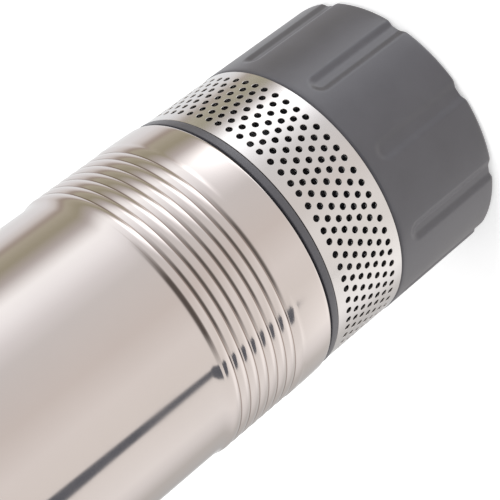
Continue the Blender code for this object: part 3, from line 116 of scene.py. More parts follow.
def drawn(name, outline):
    """Draws a closed outline in the XZ plane, point by point, and leaves it in edit mode."""
    bpy.ops.object.select_all(action="DESELECT")
    bpy.ops.mesh.primitive_plane_add(size=MM)
    piece = bpy.context.object
    piece.name = piece.data.name = name
    enter("EDIT")
    bpy.ops.mesh.select_all(action="SELECT")
    bpy.ops.mesh.merge(type="CENTER")
    x, z = outline[0]
    bpy.ops.transform.translate(value=(x * MM, 0.0, z * MM))
    for (x, z), (next_x, next_z) in zip(outline, outline[1:]):
        step = ((next_x - x) * MM, 0.0, (next_z - z) * MM)
        bpy.ops.mesh.extrude_region_move(TRANSFORM_OT_translate={"value": step})
    enter("OBJECT")
    last = len(piece.data.vertices) - 1
    for vertex in piece.data.vertices:
        vertex.select = vertex.index in (0, last)
    enter("EDIT")
    bpy.ops.mesh.edge_face_add()
    bpy.ops.mesh.select_all(action="SELECT")
    return piece


def tidied(piece, sharp=40.0):
    """Closes seams and poles, turns all faces outwards and shades the piece smooth."""
    alone(piece)
    enter("EDIT")
    bpy.ops.mesh.select_all(action="SELECT")
    bpy.ops.mesh.remove_doubles(threshold=MERGE)
    bpy.ops.mesh.normals_make_consistent(inside=False)
    enter("OBJECT")
    bpy.ops.object.shade_smooth_by_angle(angle=math.radians(sharp))
    return piece


def turned(name, outline, steps, corner=0.0, sharp=40.0):
    """Spins an outline of (radius, height) points about the pump's axis."""
    if corner:
        outline = softened(outline, corner)
    piece = drawn(name, outline)
    bpy.ops.mesh.spin(steps=steps, angle=FULL_TURN, center=(0, 0, 0), axis=(0, 0, 1))
    return tidied(piece, sharp)


def placed(piece, x=0.0, y=0.0, z=0.0, turn=0.0):
    """Turns a piece about Z by degrees and shifts it by millimetres, in its mesh."""
    alone(piece)
    piece.rotation_euler.z = math.radians(turn)
    piece.location = (x * MM, y * MM, z * MM)
    bpy.ops.object.transform_apply(location=True, rotation=True, scale=True)
    return piece


def applied(piece, kind, **settings):
    """Adds a modifier with its settings and applies it."""
    alone(piece)
    modifier = piece.modifiers.new(kind.lower(), kind)
    for name, value in settings.items():
        setattr(modifier, name, value)
    bpy.ops.object.modifier_apply(modifier=modifier.name)
    return piece


def cut_by(piece, tool, operation="DIFFERENCE"):
    """Boolean with a tool piece, which is used up."""
    applied(piece, "BOOLEAN", operation=operation, solver="EXACT", object=tool)
    bpy.data.objects.remove(tool, do_unlink=True)
    return piece


def joined(pieces):
    """Puts several pieces into the first one's mesh."""
    bpy.ops.object.select_all(action="DESELECT")
    for piece in pieces:
        piece.select_set(True)
    bpy.context.view_layer.objects.active = pieces[0]
    bpy.ops.object.join()
    return pieces[0]


def cylinder(sides, radius, length, place, turn=(0.0, 0.0, 0.0)):
    """A cylinder or prism around a place, as a tool for cutting."""
    bpy.ops.object.select_all(action="DESELECT")
    bpy.ops.mesh.primitive_cylinder_add(vertices=sides, radius=radius * MM, depth=length * MM,
                                        location=Vector(place) * MM, rotation=turn)
    bpy.ops.object.transform_apply(location=True, rotation=True, scale=True)
    return bpy.context.object


def coated(piece, material):
    """Makes one material the only one of a piece."""
    piece.data.materials.clear()
    piece.data.materials.append(material)


def copied(piece, name):
    """Another piece with its own mesh."""
    alone(piece)
    bpy.ops.object.duplicate()
    twin = bpy.context.object
    twin.name = twin.data.name = name
    return twin


def span(node):
    """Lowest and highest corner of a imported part, in millimetres."""
    low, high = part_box(node)
    return low / MM, high / MM


# %% [markdown]
# ## Colours and nodes
#
# A colour picked from a screen is an sRGB code, but the renderer adds light in linear values, so
# one function does the conversion. A second one adds a node together with its settings and
# links, which keeps each recipe readable from top to bottom.

# %% Helpers that make materials
def linear(code):
    """Linear red, green, blue and alpha of an sRGB hex code."""
    parts = [int(code[start:start + 2], 16) / 255.0 for start in (1, 3, 5)]
    light = [c / 12.92 if c <= 0.04045 else ((c + 0.055) / 1.055) ** 2.4 for c in parts]
    return (*light, 1.0)


def add(tree, kind, inputs=None, **settings):
    """Adds a node. An input is a value, a node's output, or a node, meaning its first output."""
    made = tree.nodes.new("ShaderNode" + kind)
    for name, value in settings.items():
        setattr(made, name, value)
    for socket, value in (inputs or {}).items():
        if isinstance(value, bpy.types.Node):
            value = value.outputs[0]
        if isinstance(value, bpy.types.NodeSocket):
            tree.links.new(value, made.inputs[socket])
        else:
            made.inputs[socket].default_value = value
    return made


# %% [markdown]
# Every real surface here has the same three marks, at its own size: patches where the tone and
# the gloss wander a little, and a fine grain that can be felt. On turned and polished metal the
# grain is drawn out around the axis into lines. So one recipe serves for all, and what differs
# is written where the material is named: its two tones, the two ends of its roughness, the size
# of its patches, and the size and depth of its grain, all in millimetres.

# %% The recipe of a surface
def surface(name, tones, metallic, roughness, patch, grain, depth, lines=1.0, ior=1.5):
    """Material with wandering tone and gloss and a fine grain, drawn out around Z into lines."""
    made = bpy.data.materials.new(name)
    made.use_nodes = True
    tree = made.node_tree
    place = add(tree, "TexCoord").outputs["Object"]
    patches = add(tree, "TexNoise", {"Vector": place, "Scale": 1.0 / patch / MM, "Detail": 4.0})
    ease = add(tree, "MapRange", {"Value": patches, "From Min": 0.3, "From Max": 0.7})
    tone = add(tree, "Mix", {0: ease, 6: linear(tones[0]), 7: linear(tones[1])}, data_type="RGBA")
    gloss = add(tree, "MapRange", {"Value": ease, "To Min": roughness[0], "To Max": roughness[1]})
    size = (1.0 / grain / MM / lines, 1.0 / grain / MM / lines, 1.0 / grain / MM)
    mapped = add(tree, "Mapping", {"Vector": place, "Scale": size})
    fine = add(tree, "TexNoise", {"Vector": mapped, "Scale": 1.0, "Detail": 2.0})
    bump = add(tree, "Bump", {"Height": fine, "Distance": depth * MM})
    shader = tree.nodes["Principled BSDF"]
    shader.inputs["Metallic"].default_value = metallic
    shader.inputs["IOR"].default_value = ior
    tree.links.new(tone.outputs[2], shader.inputs["Base Color"])
    tree.links.new(gloss.outputs[0], shader.inputs["Roughness"])
    tree.links.new(bump.outputs[0], shader.inputs["Normal"])
    return made


# %% [markdown]
# ## Stainless steel, polished and satin
#
# The casing is drawn stainless tube, polished on a belt while it turns. The eye gets a warm grey
# mirror that is not quite sharp, with very fine lines around the tube and faint cloudy patches
# where it was handled. The narrow valleys between the ridges get a painted shade: a brown mixed
# into the steel's colour stands in for the shade and dark reflections there, and an attribute of
# the mesh says where they are. The strainer's sheet is cold rolled, with no belt polish: its
# reflections spread a little wider, and an even grain of a third of a millimetre breaks them up.

# %% Steel outside
# Painted shade: a brown mixed into the steel's colour at the bottom of the ridges' valleys, in place of
# their shade.
VALLEY_PAINTED_SHADE = "#8C7B71"
polished_steel = surface("polished_304_stainless", ("#DDD7D4", "#DBD5D2"), 1.0, (0.08, 0.13),
                         patch=22.0, grain=0.25, depth=0.0003, lines=60.0)
tree = polished_steel.node_tree
shader = tree.nodes["Principled BSDF"]
# The valley attribute mixes the painted shade into the polished steel's colour.
valley = add(tree, "Attribute", attribute_name="valley")
polished = shader.inputs["Base Color"].links[0].from_socket
valley_shaded = add(tree, "Mix", {0: valley.outputs["Fac"], 6: polished, 7: linear(VALLEY_PAINTED_SHADE)},
              data_type="RGBA")
tree.links.new(valley_shaded.outputs[2], shader.inputs["Base Color"])
satin_steel = surface("cold_rolled_stainless_sheet", ("#E3E2E1", "#E0DFDE"), 1.0, (0.14, 0.19),
                      patch=9.0, grain=0.3, depth=0.002)

# %% [markdown]
# ## Moulded grey plastic
#
# The foot, the ring and the head are glass filled polyamide from a spark eroded mould. The eye
# gets a dark grey with a soft sheen and a fine leathery grain, a little uneven in tone where the
# melt flowed. Its index of refraction is above polyamide's 1.53, because it was matched to the
# sheen that the picture shows.

# %% Moulded plastic
moulded_plastic = surface("glass_filled_polyamide", ("#4B4B51", "#525258"), 0.0, (0.31, 0.38),
                          patch=14.0, grain=0.35, depth=0.02, ior=1.75)

# %% [markdown]
# ## The inner materials
#
# Most parts inside are turned, cast, pressed or moulded. Turned steel and brass keep fine rings,
# castings a sandy skin, and the windings show their strands. The motor's iron is a stack of
# half millimetre sheets, so it gets stripes across the axis in place of a grain.

# %% Metals inside
machined_steel = surface("turned_420_stainless", ("#BBBBBC", "#B6B6B8"), 1.0, (0.24, 0.36),
                         patch=4.0, grain=0.2, depth=0.001, lines=40.0)
turned_brass = surface("turned_leaded_brass", ("#DAB66E", "#CBA45C"), 1.0, (0.22, 0.34),
                       patch=6.0, grain=0.25, depth=0.001, lines=40.0)
cast_aluminium = surface("die_cast_aluminium", ("#C6C8CA", "#B4B6B9"), 1.0, (0.44, 0.52),
                         patch=8.0, grain=0.6, depth=0.02)
winding_wire = surface("enamelled_copper_wire", ("#A4552A", "#BE6E3C"), 0.55, (0.3, 0.4),
                       patch=6.0, grain=0.9, depth=0.25, lines=6.0)
stacked_sheets = surface("lacquered_silicon_steel", ("#66666A", "#717176"), 0.8, (0.4, 0.5),
                         patch=12.0, grain=0.5, depth=0.05, lines=400.0)

# %% Rubber, stage plastic and ceramic
black_rubber = surface("nitrile_rubber", ("#1F1F21", "#2A2A2C"), 0.0, (0.58, 0.66),
                       patch=5.0, grain=0.4, depth=0.015)
stage_plastic = surface("moulded_polyphenylene_ether", ("#323337", "#3B3C40"), 0.0, (0.36, 0.44),
                        patch=10.0, grain=0.4, depth=0.01)
lapped_ceramic = surface("lapped_alumina", ("#E2DCD3", "#D5CEC3"), 0.0, (0.18, 0.3),
                         patch=2.0, grain=0.3, depth=0.001)

# %% [markdown]
# ## The foot
#
# A moulded cup with ten upright grooves that start at its rim and end in a round, a few
# millimetres below its top. The grooves are shallow and have no sharp edge anywhere, so cutting
# them with a tool would leave corners to hide. Instead the wall is turned with many columns,
# each of its points gets a weight by how deep in a groove it lies, and one Displace modifier
# presses the weighted points in, as the mould did.

# %% Foot shell
FOOT_RADIUS = 48.3
FOOT_TOP = 46.6
FOOT_WALL = 3.2
FOOT_DECK = 4.2
FOOT_COLUMNS = 900
GROOVE_COUNT = 10
GROOVE_WIDTH = 8.7
GROOVE_DEPTH = 0.95
GROOVE_FLOOR = 2.0
GROOVE_LAND = 4.6
GROOVE_ROW = 0.45
RIM_HEIGHT = 1.5
COARSE_ROWS = 12
REGISTER_RADIUS = 46.6
REGISTER_HEIGHT = 3.0
REGISTER_BORE = REGISTER_RADIUS - 1.8
DECK_CORNER = 1.2

foot_bore = FOOT_RADIUS - FOOT_WALL
deck_bottom = FOOT_TOP - FOOT_DECK
groove_round = FOOT_TOP - GROOVE_LAND - GROOVE_WIDTH / 2.0
coarse_row = (groove_round - RIM_HEIGHT) / COARSE_ROWS
fine_rows = int((FOOT_TOP - 2.0 - groove_round) / GROOVE_ROW)
outer_wall = [(FOOT_RADIUS - 1.3, 0.0), (FOOT_RADIUS - 0.5, 0.25), (FOOT_RADIUS - 0.12, 0.75),
              (FOOT_RADIUS, RIM_HEIGHT)]
outer_wall += [(FOOT_RADIUS, RIM_HEIGHT + coarse_row * row) for row in range(1, COARSE_ROWS + 1)]
outer_wall += [(FOOT_RADIUS, groove_round + GROOVE_ROW * row) for row in range(1, fine_rows + 1)]
outer_wall += [(FOOT_RADIUS, FOOT_TOP - 0.9), (FOOT_RADIUS - 0.1, FOOT_TOP - 0.45),
               (FOOT_RADIUS - 0.4, FOOT_TOP - 0.12), (FOOT_RADIUS - 0.9, FOOT_TOP)]
register = [(REGISTER_RADIUS, FOOT_TOP), (REGISTER_RADIUS, FOOT_TOP + REGISTER_HEIGHT),
            (REGISTER_BORE, FOOT_TOP + REGISTER_HEIGHT), (REGISTER_BORE, FOOT_TOP), (0.0, FOOT_TOP)]
inner_wall = [(0.0, deck_bottom), (foot_bore - DECK_CORNER, deck_bottom),
              (foot_bore, deck_bottom - DECK_CORNER), (foot_bore, 0.5), (foot_bore + 0.5, 0.0)]
foot_shell = turned("foot_shell", outer_wall + register + inner_wall, FOOT_COLUMNS)


def groove_weight(point):
    """How deep a point of the wall lies in the nearest groove, from 0 to 1."""
    x, y, z = point / MM
    if math.hypot(x, y) < FOOT_RADIUS - 1.4 or z > FOOT_TOP - 1.0:
        return 0.0
    turn = FULL_TURN / GROOVE_COUNT
    angle = math.atan2(y, x)
    aside = (angle - turn * round(angle / turn)) * FOOT_RADIUS
    away = math.hypot(aside, max(0.0, z - groove_round))
    share = (GROOVE_WIDTH / 2.0 - away) / (GROOVE_WIDTH / 2.0 - GROOVE_FLOOR / 2.0)
    share = min(1.0, max(0.0, share))
    return share * share * (3.0 - 2.0 * share)


grooves = foot_shell.vertex_groups.new(name="grooves")
for vertex in foot_shell.data.vertices:
    weight = groove_weight(vertex.co)
    if weight > 0.0:
        grooves.add([vertex.index], weight, "REPLACE")
applied(foot_shell, "DISPLACE", strength=-GROOVE_DEPTH * MM, mid_level=0.0, vertex_group="grooves")
foot_shell.vertex_groups.clear()
bpy.ops.object.shade_smooth_by_angle(angle=math.radians(50.0))
coated(foot_shell, moulded_plastic)
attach(foot_shell, "pump_body")
print("foot:", len(foot_shell.data.polygons), "faces")

# %% [markdown]
# Inside, ten triangular ribs tie the cup's wall to its deck, and four bosses carry the screws.
# They are hidden while the pump stands, so each is one small solid, modelled once and copied.

# %% Foot ribs and screw bosses
RIB_REACH = 10.0
RIB_HEIGHT = 12.0
RIB_THICKNESS = 2.0
SCREW_CIRCLE = 31.0
SCREW_COUNT = 4
FIRST_SCREW = 45.0
SCREW_HOLE = 2.4
BOSS_RADIUS = 7.0
BOSS_HEIGHT = 4.0
OVERLAP = 0.5


def at_screw(piece, index):
    """Moves a piece from the pump's axis to one of the foot's screws."""
    angle = math.radians(FIRST_SCREW) + FULL_TURN * index / SCREW_COUNT
    return placed(piece, x=SCREW_CIRCLE * math.cos(angle), y=SCREW_CIRCLE * math.sin(angle))


def slab(name, outline, thickness):
    """A flat plate of an XZ outline, centred on Y."""
    piece = drawn(name, outline)
    bpy.ops.mesh.edge_face_add()
    bpy.ops.mesh.extrude_region_move(TRANSFORM_OT_translate={"value": (0.0, thickness * MM, 0.0)})
    bpy.ops.mesh.select_all(action="SELECT")
    bpy.ops.transform.translate(value=(0.0, -thickness * MM / 2.0, 0.0))
    return tidied(piece)


rib_start = foot_bore - RIB_REACH
rib_end = foot_bore + OVERLAP
rib_outline = [(rib_start, deck_bottom + OVERLAP), (rib_start, deck_bottom - 1.0),
               (rib_end, deck_bottom - RIB_HEIGHT), (rib_end, deck_bottom + OVERLAP)]
rib = slab("rib", rib_outline, RIB_THICKNESS)
applied(rib, "BEVEL", width=0.4 * MM, segments=2)
ribs = [placed(copied(rib, "rib_copy"), turn=360.0 / GROOVE_COUNT * (index + 0.5))
        for index in range(GROOVE_COUNT)]
bpy.data.objects.remove(rib, do_unlink=True)
boss_outline = oblong(SCREW_HOLE, BOSS_RADIUS, deck_bottom - BOSS_HEIGHT, deck_bottom + OVERLAP)
boss = turned("boss", boss_outline, 40, corner=0.5)
bosses = [at_screw(copied(boss, "boss_copy"), index) for index in range(SCREW_COUNT)]
bpy.data.objects.remove(boss, do_unlink=True)
foot_ribs = joined(ribs + bosses)
foot_ribs.name = foot_ribs.data.name = "foot_ribs"
coated(foot_ribs, moulded_plastic)
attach(foot_ribs, "pump_body")
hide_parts("foot")
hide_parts("foot")

# %% [markdown]
# ## The strainer
#
# The real one starts as a flat sheet. A press punches rows of 2.2 mm holes into it, four and
# three in turn, and the sheet is then rolled and welded. The model follows the same order. One
# hole is modelled in the middle of a diamond of sheet: a circle, extruded up through the sheet,
# widened a little at the rim where the punch rounds the metal, and spread to the diamond.
# Diamonds fit together with no gap, so two Array modifiers make the sheet from it.

# %% One punched hole
STRAINER_RADIUS = 48.1
SHEET = 0.8
COLUMNS = 136
ROW_PITCH = 3.475
HOLE_RADIUS = 1.12
RIM = 0.13
HOLE_SIDES = 16

column_pitch = FULL_TURN * STRAINER_RADIUS / COLUMNS
sheet_low, sheet_high = span("strainer")
row_middle = (sheet_low.z + sheet_high.z) / 2.0


def spread_to_diamond(piece, height):
    """Moves the selected ring of points onto the edge of the diamond, evenly along each side."""
    enter("OBJECT")
    ring = [vertex for vertex in piece.data.vertices if vertex.select]
    quarter = HOLE_SIDES // 4
    for vertex in ring:
        turn = round(math.atan2(vertex.co.y, vertex.co.x) / FULL_TURN * HOLE_SIDES) % HOLE_SIDES
        side, along = divmod(turn, quarter)
        share = along / quarter
        corners = [(column_pitch, 0.0), (0.0, ROW_PITCH), (-column_pitch, 0.0), (0.0, -ROW_PITCH)]
        start, end = Vector(corners[side]), Vector(corners[(side + 1) % 4])
        flat = start.lerp(end, share) * MM
        vertex.co = (flat.x, flat.y, height * MM)
    enter("EDIT")


def ringed(rise, grow):
    """Extrudes the selected ring upwards by a rise and widens it by a factor."""
    bpy.ops.mesh.extrude_edges_move(TRANSFORM_OT_translate={"value": (0.0, 0.0, rise * MM)})
    bpy.ops.transform.resize(value=(grow, grow, 1.0))


bpy.ops.object.select_all(action="DESELECT")
bpy.ops.mesh.primitive_circle_add(vertices=HOLE_SIDES, radius=HOLE_RADIUS * MM,
                                  location=(0.0, 0.0, -SHEET * MM))
hole = bpy.context.object
bpy.ops.object.transform_apply(location=True, rotation=True, scale=True)
enter("EDIT")
bpy.ops.mesh.select_all(action="SELECT")
ringed(SHEET - RIM, 1.0)
ringed(RIM * 0.7, 1.0 + RIM * 0.35 / HOLE_RADIUS)
ringed(RIM * 0.3, (HOLE_RADIUS + RIM) / (HOLE_RADIUS + RIM * 0.35))
ringed(0.0, 1.3)
spread_to_diamond(hole, 0.0)
enter("OBJECT")
for vertex in hole.data.vertices:
    vertex.select = vertex.co.z < -0.99 * SHEET * MM
enter("EDIT")
ringed(0.0, 1.6)
spread_to_diamond(hole, -SHEET)
enter("OBJECT")
print("one hole:", len(hole.data.polygons), "faces")

# %% [markdown]
# A column of four holes ends in half a diamond above and below. That zigzag edge is extruded to
# a straight line, over the sheet's rounded edge and back on the other face, which makes the
# plain border. Columns of three holes end inside the sheet and need none.

# %% Punched sheet
LONG_ROWS = 4
SHORT_ROWS = 3
LAST_ROW = 3.0
BORDER_EDGE = 0.12


def zigzag(x):
    """Height of the last holes' diamonds above the sheet's middle."""
    return (LAST_ROW + 1.0 - abs(x) / column_pitch) * ROW_PITCH


def border(column, side):
    """Extrudes the zigzag end of a column of holes into the sheet's plain border."""
    half = (sheet_high.z - sheet_low.z) / 2.0
    enter("EDIT")
    bpy.ops.mesh.select_mode(type="VERT")
    bpy.ops.mesh.select_all(action="DESELECT")
    enter("OBJECT")
    for vertex in column.data.vertices:
        x, y, z = vertex.co / MM
        vertex.select = abs(side * y - zigzag(x)) < NEAR and abs(z) < NEAR
    for rim_y, rim_z in ((half - BORDER_EDGE, 0.0), (half, -BORDER_EDGE), (half, -SHEET),
                         (None, -SHEET)):
        enter("EDIT")
        bpy.ops.mesh.extrude_edges_move(TRANSFORM_OT_translate={"value": (0.0, 0.0, 0.0)})
        enter("OBJECT")
        for vertex in column.data.vertices:
            if vertex.select:
                level = rim_y if rim_y else zigzag(vertex.co.x / MM)
                vertex.co.y = side * level * MM
                vertex.co.z = rim_z * MM


def repeated(piece, count, x=0.0, y=0.0):
    """Sets more of a piece in a row, each one shifted by millimetres."""
    return applied(piece, "ARRAY", count=count, use_relative_offset=False, use_constant_offset=True,
                   constant_offset_displace=(x * MM, y * MM, 0.0))


short_hole = copied(hole, "short_hole")
repeated(hole, LONG_ROWS, y=2.0 * ROW_PITCH)
placed(hole, y=-LAST_ROW * ROW_PITCH)
for side in (-1.0, 1.0):
    border(hole, side)
repeated(short_hole, SHORT_ROWS, y=2.0 * ROW_PITCH)
placed(short_hole, x=column_pitch, y=(1.0 - LAST_ROW) * ROW_PITCH)
strainer_sheet = joined([hole, short_hole])
strainer_sheet.name = strainer_sheet.data.name = "strainer_sheet"
repeated(strainer_sheet, COLUMNS // 2, x=2.0 * column_pitch)
enter("EDIT")
bpy.ops.mesh.select_all(action="SELECT")
bpy.ops.mesh.remove_doubles(threshold=MERGE)
enter("OBJECT")
print("sheet:", len(strainer_sheet.data.polygons), "faces")

# %% [markdown]
# Then the sheet is rolled: how far a point lies along the sheet becomes its angle. The press
# moves on by four rows of holes at a time, and its steps don't quite meet: the last gap of every
# four is narrower. The rolling puts that in, and keeps the holes round. The faces between the
# holes have odd shapes, and their averaged normals would quilt the reflections, so the points
# of the outer face get the normal of a plain cylinder.

# %% Rolled sheet
STROKES = 17
STROKE_STEPS = (4.68, 5.35, 5.49)
STROKE_START = 7.0


def rolled_angle(column):
    """Angle of a column of holes, in degrees. Columns may be fractions, between holes."""
    stroke, rest = divmod(column / 2.0, 4.0)
    places = [0.0]
    for step in STROKE_STEPS:
        places.append(places[-1] + step)
    places.append(360.0 / STROKES)
    low = int(rest)
    return stroke * 360.0 / STROKES + places[low] + (places[low + 1] - places[low]) * (rest - low)


def rolled(point):
    """Where a point of the flat sheet lies on the rolled one."""
    x, y, z = point / MM
    column = x / column_pitch
    nearest = round(column)
    last = LAST_ROW if nearest % 2 == 0 else LAST_ROW - 1.0
    row = 2.0 * round((y / ROW_PITCH - last) / 2.0) + last
    row = min(last, max(-last, row))
    aside = x - nearest * column_pitch
    upright = y - row * ROW_PITCH
    angle = math.radians(rolled_angle(column) + STROKE_START)
    if math.hypot(aside, upright) < HOLE_RADIUS + 2.0 * RIM:
        angle = math.radians(rolled_angle(nearest) + STROKE_START) + aside / STRAINER_RADIUS
    radius = STRAINER_RADIUS + z
    return Vector((radius * math.cos(angle), radius * math.sin(angle), y + row_middle)) * MM


for vertex in strainer_sheet.data.vertices:
    vertex.co = rolled(vertex.co)
tidied(strainer_sheet, sharp=35.0)
normals = []
for vertex in strainer_sheet.data.vertices:
    outwards = Vector((vertex.co.x, vertex.co.y, 0.0))
    on_face = outwards.length > (STRAINER_RADIUS - NEAR) * MM
    normals.append(outwards.normalized() if on_face else Vector((0.0, 0.0, 0.0)))
strainer_sheet.data.normals_split_custom_set_from_vertices(normals)
coated(strainer_sheet, satin_steel)
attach(strainer_sheet, "pump_body")
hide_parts("strainer")
print("strainer:", len(strainer_sheet.data.polygons), "faces")

# %% [markdown]
# ## The suction body
#
# Only the edge of its flange shows, as a dark ring between strainer and casing. The rest holds
# the pump's lower bearing and the posts that the foot is screwed to, and it can be seen dimly
# through the holes. The flange ends just below the casing, and the gap keeps a thin shadow
# between them. The body is turned from one outline; posts and arms are set into it.

# %% Suction body
RING_BOTTOM = 77.7
CASING_BOTTOM = 81.4
SUCTION_TOP = 97.0
RING_RADIUS = 48.3
RING_GAP = 0.9
SPIGOT_RADIUS = 46.6
SPIGOT_BORE = 43.2
EYE_RADIUS = 19.0
SUCTION_PLATE = 4.5
SEAL_BOTTOM = CASING_BOTTOM + 4.5
SEAL_TOP = SEAL_BOTTOM + 3.6
SEAL_DEPTH = 2.0
POST = (FOOT_TOP + 0.3, SUCTION_TOP - 4.0)
POST_RADIUS = 5.5
ARM = (SUCTION_TOP - 9.4, SUCTION_TOP - 2.4)
ARM_THICKNESS = 6.0
HUB = (SUCTION_TOP - 14.9, SUCTION_TOP - 2.4)
HUB_RADIUS = 12.5
HUB_BORE = 9.2

low = RING_BOTTOM - REGISTER_HEIGHT
outline = [(SPIGOT_BORE, low), (REGISTER_RADIUS, low),
           (REGISTER_RADIUS, RING_BOTTOM), (RING_RADIUS, RING_BOTTOM),
           (RING_RADIUS, CASING_BOTTOM - RING_GAP), (SPIGOT_RADIUS, CASING_BOTTOM - RING_GAP),
           (SPIGOT_RADIUS, SEAL_BOTTOM), (SPIGOT_RADIUS - SEAL_DEPTH, SEAL_BOTTOM),
           (SPIGOT_RADIUS - SEAL_DEPTH, SEAL_TOP), (SPIGOT_RADIUS, SEAL_TOP),
           (SPIGOT_RADIUS, SUCTION_TOP), (EYE_RADIUS, SUCTION_TOP),
           (EYE_RADIUS, SUCTION_TOP - SUCTION_PLATE), (SPIGOT_BORE, SUCTION_TOP - SUCTION_PLATE)]
ring = turned("suction_ring", outline, 256, corner=0.35)
post = turned("post", oblong(SCREW_HOLE, POST_RADIUS, *POST), 32, corner=0.4)
arm = slab("arm", oblong(HUB_RADIUS - OVERLAP, SPIGOT_BORE + OVERLAP, *ARM), ARM_THICKNESS)
hub = turned("hub", oblong(HUB_BORE, HUB_RADIUS, *HUB), 48, corner=0.4)
inner = [ring, hub]
for index in range(SCREW_COUNT):
    inner.append(at_screw(copied(post, "post_copy"), index))
    inner.append(placed(copied(arm, "arm_copy"), turn=FIRST_SCREW + 360.0 * index / SCREW_COUNT))
for spare in (post, arm):
    bpy.data.objects.remove(spare, do_unlink=True)
suction_body = joined(inner)
coated(suction_body, moulded_plastic)
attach(suction_body, "pump_body")
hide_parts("suction_body")

# %% [markdown]
# ## The casing
#
# A drawn tube. Rolls have pressed a smooth collar and seven ridges into its lower end and turned
# both of its edges in. In section each ridge is one shallow arc, and where two arcs meet there
# is a narrow valley; a painted shade laid along it draws the thin dark lines. The outline is
# written the same way, arc by arc, and spun finely, because a mirror shows every flat. The points
# at the bottom of the valleys then get the attribute that the steel's painted shade follows.

# %% Casing
TUBE_RADIUS = 48.0
TUBE_WALL = 0.8
COLLAR_TOP = 97.8
COLLAR_RADIUS = 48.94
EDGE_RADIUS = 48.75
RIDGES = 7
RIDGE_PITCH = 4.0
RIDGE_RADIUS = 48.86
VALLEY_RADIUS = 48.4
RIDGE_STEPS = 12
RUN_OUT = 3.4
RIM_BORE = 44.7
CASING_TOP = 470.3
CASING_COLUMNS = 320


def arc(start, end, rise, steps=RIDGE_STEPS):
    """Points of a shallow bulge between two (radius, height) points, without its last point."""
    points = []
    for step in range(steps):
        share = step / steps
        bulge = rise * 4.0 * share * (1.0 - share)
        points.append((start[0] + (end[0] - start[0]) * share + bulge,
                       start[1] + (end[1] - start[1]) * share))
    return points


bore = TUBE_RADIUS - TUBE_WALL
edge = [(bore, CASING_BOTTOM + 0.7), (bore + 0.25, CASING_BOTTOM + 0.2), (bore + 0.8, CASING_BOTTOM),
        (EDGE_RADIUS - 0.35, CASING_BOTTOM + 0.1), (EDGE_RADIUS - 0.08, CASING_BOTTOM + 0.35)]
collar = arc((EDGE_RADIUS, CASING_BOTTOM + 0.8), (COLLAR_RADIUS, COLLAR_TOP - 3.9), 0.08)
collar += arc((COLLAR_RADIUS, COLLAR_TOP - 3.9), (VALLEY_RADIUS, COLLAR_TOP), 0.26)
ridges = []
for index in range(RIDGES):
    low = COLLAR_TOP + index * RIDGE_PITCH
    rise = RIDGE_RADIUS - VALLEY_RADIUS
    ridges += arc((VALLEY_RADIUS, low), (VALLEY_RADIUS, low + RIDGE_PITCH), rise)
ridge_top = COLLAR_TOP + RIDGES * RIDGE_PITCH
body = [(VALLEY_RADIUS, ridge_top), (VALLEY_RADIUS - 0.14, ridge_top + 0.6),
        (VALLEY_RADIUS - 0.26, ridge_top + 1.3), (TUBE_RADIUS + 0.05, ridge_top + 2.2),
        (TUBE_RADIUS, ridge_top + RUN_OUT)]
body += [(TUBE_RADIUS, ridge_top + RUN_OUT + (CASING_TOP - 3.0 - ridge_top - RUN_OUT) * row / 8)
         for row in range(1, 9)]
rim = [(TUBE_RADIUS, CASING_TOP - 1.6), (TUBE_RADIUS - 0.12, CASING_TOP - 0.9),
       (TUBE_RADIUS - 0.45, CASING_TOP - 0.35), (TUBE_RADIUS - 1.0, CASING_TOP),
       (RIM_BORE + 0.3, CASING_TOP), (RIM_BORE, CASING_TOP - 0.3), (RIM_BORE, CASING_TOP - 0.9),
       (RIM_BORE + 0.3, CASING_TOP - 1.2), (bore, CASING_TOP - 1.2)]
casing = turned("casing", edge + collar + ridges + body + rim, CASING_COLUMNS, sharp=60.0)
valleys = [COLLAR_TOP + index * RIDGE_PITCH for index in range(RIDGES)]
# Marks the bottom of each valley, where the steel's colour gets its painted shade.
valley_shade_mask = casing.data.attributes.new("valley", "FLOAT", "POINT")
for vertex in casing.data.vertices:
    if min(abs(vertex.co.z / MM - height) for height in valleys) < NEAR:
        valley_shade_mask.data[vertex.index].value = 1.0
coated(casing, polished_steel)
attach(casing, "pump_body")
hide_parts("casing_tube")
print("casing:", len(casing.data.polygons), "faces")

# %% [markdown]
# ## The head
#
# One moulding closes the top: a cone with the outlet in its middle, an upright ear on either
# side for the rope, and a column for the cable gland. Where such forms meet, a mould leaves soft
# fillets. Modelled as separate solids, they are joined and remeshed in small cells, which melts
# them into one skin, and a smoothing pass rounds the seams.

# %% Head
HEAD_BOTTOM = 451.8
HEAD_FLANGE_TOP = 468.8
HEAD_TOP = 518.8
SPIGOT_WALL = 3.6
OUTLET_BOSS_RADIUS = 23.2
INSERT_RADIUS = 19.5
INSERT_BOTTOM = HEAD_TOP - 24.0
VALVE_BORE = 15.0
GLAND_OFFSET = 34.0
GLAND_TOP = HEAD_FLANGE_TOP + 24.0
GLAND_SHOULDER = GLAND_TOP - 12.0
GLAND_COLUMN = 9.2
GLAND_BORE = 6.8
CORD_BORE = 5.4
EAR_THICKNESS = 9.0
EAR_RADIUS = 43.0
EAR_TOP = HEAD_FLANGE_TOP + 40.0
EAR_HOLE = (33.5, 0.0, HEAD_FLANGE_TOP + 30.0)
EAR_HOLE_RADIUS = 5.0
VOXEL = 0.72

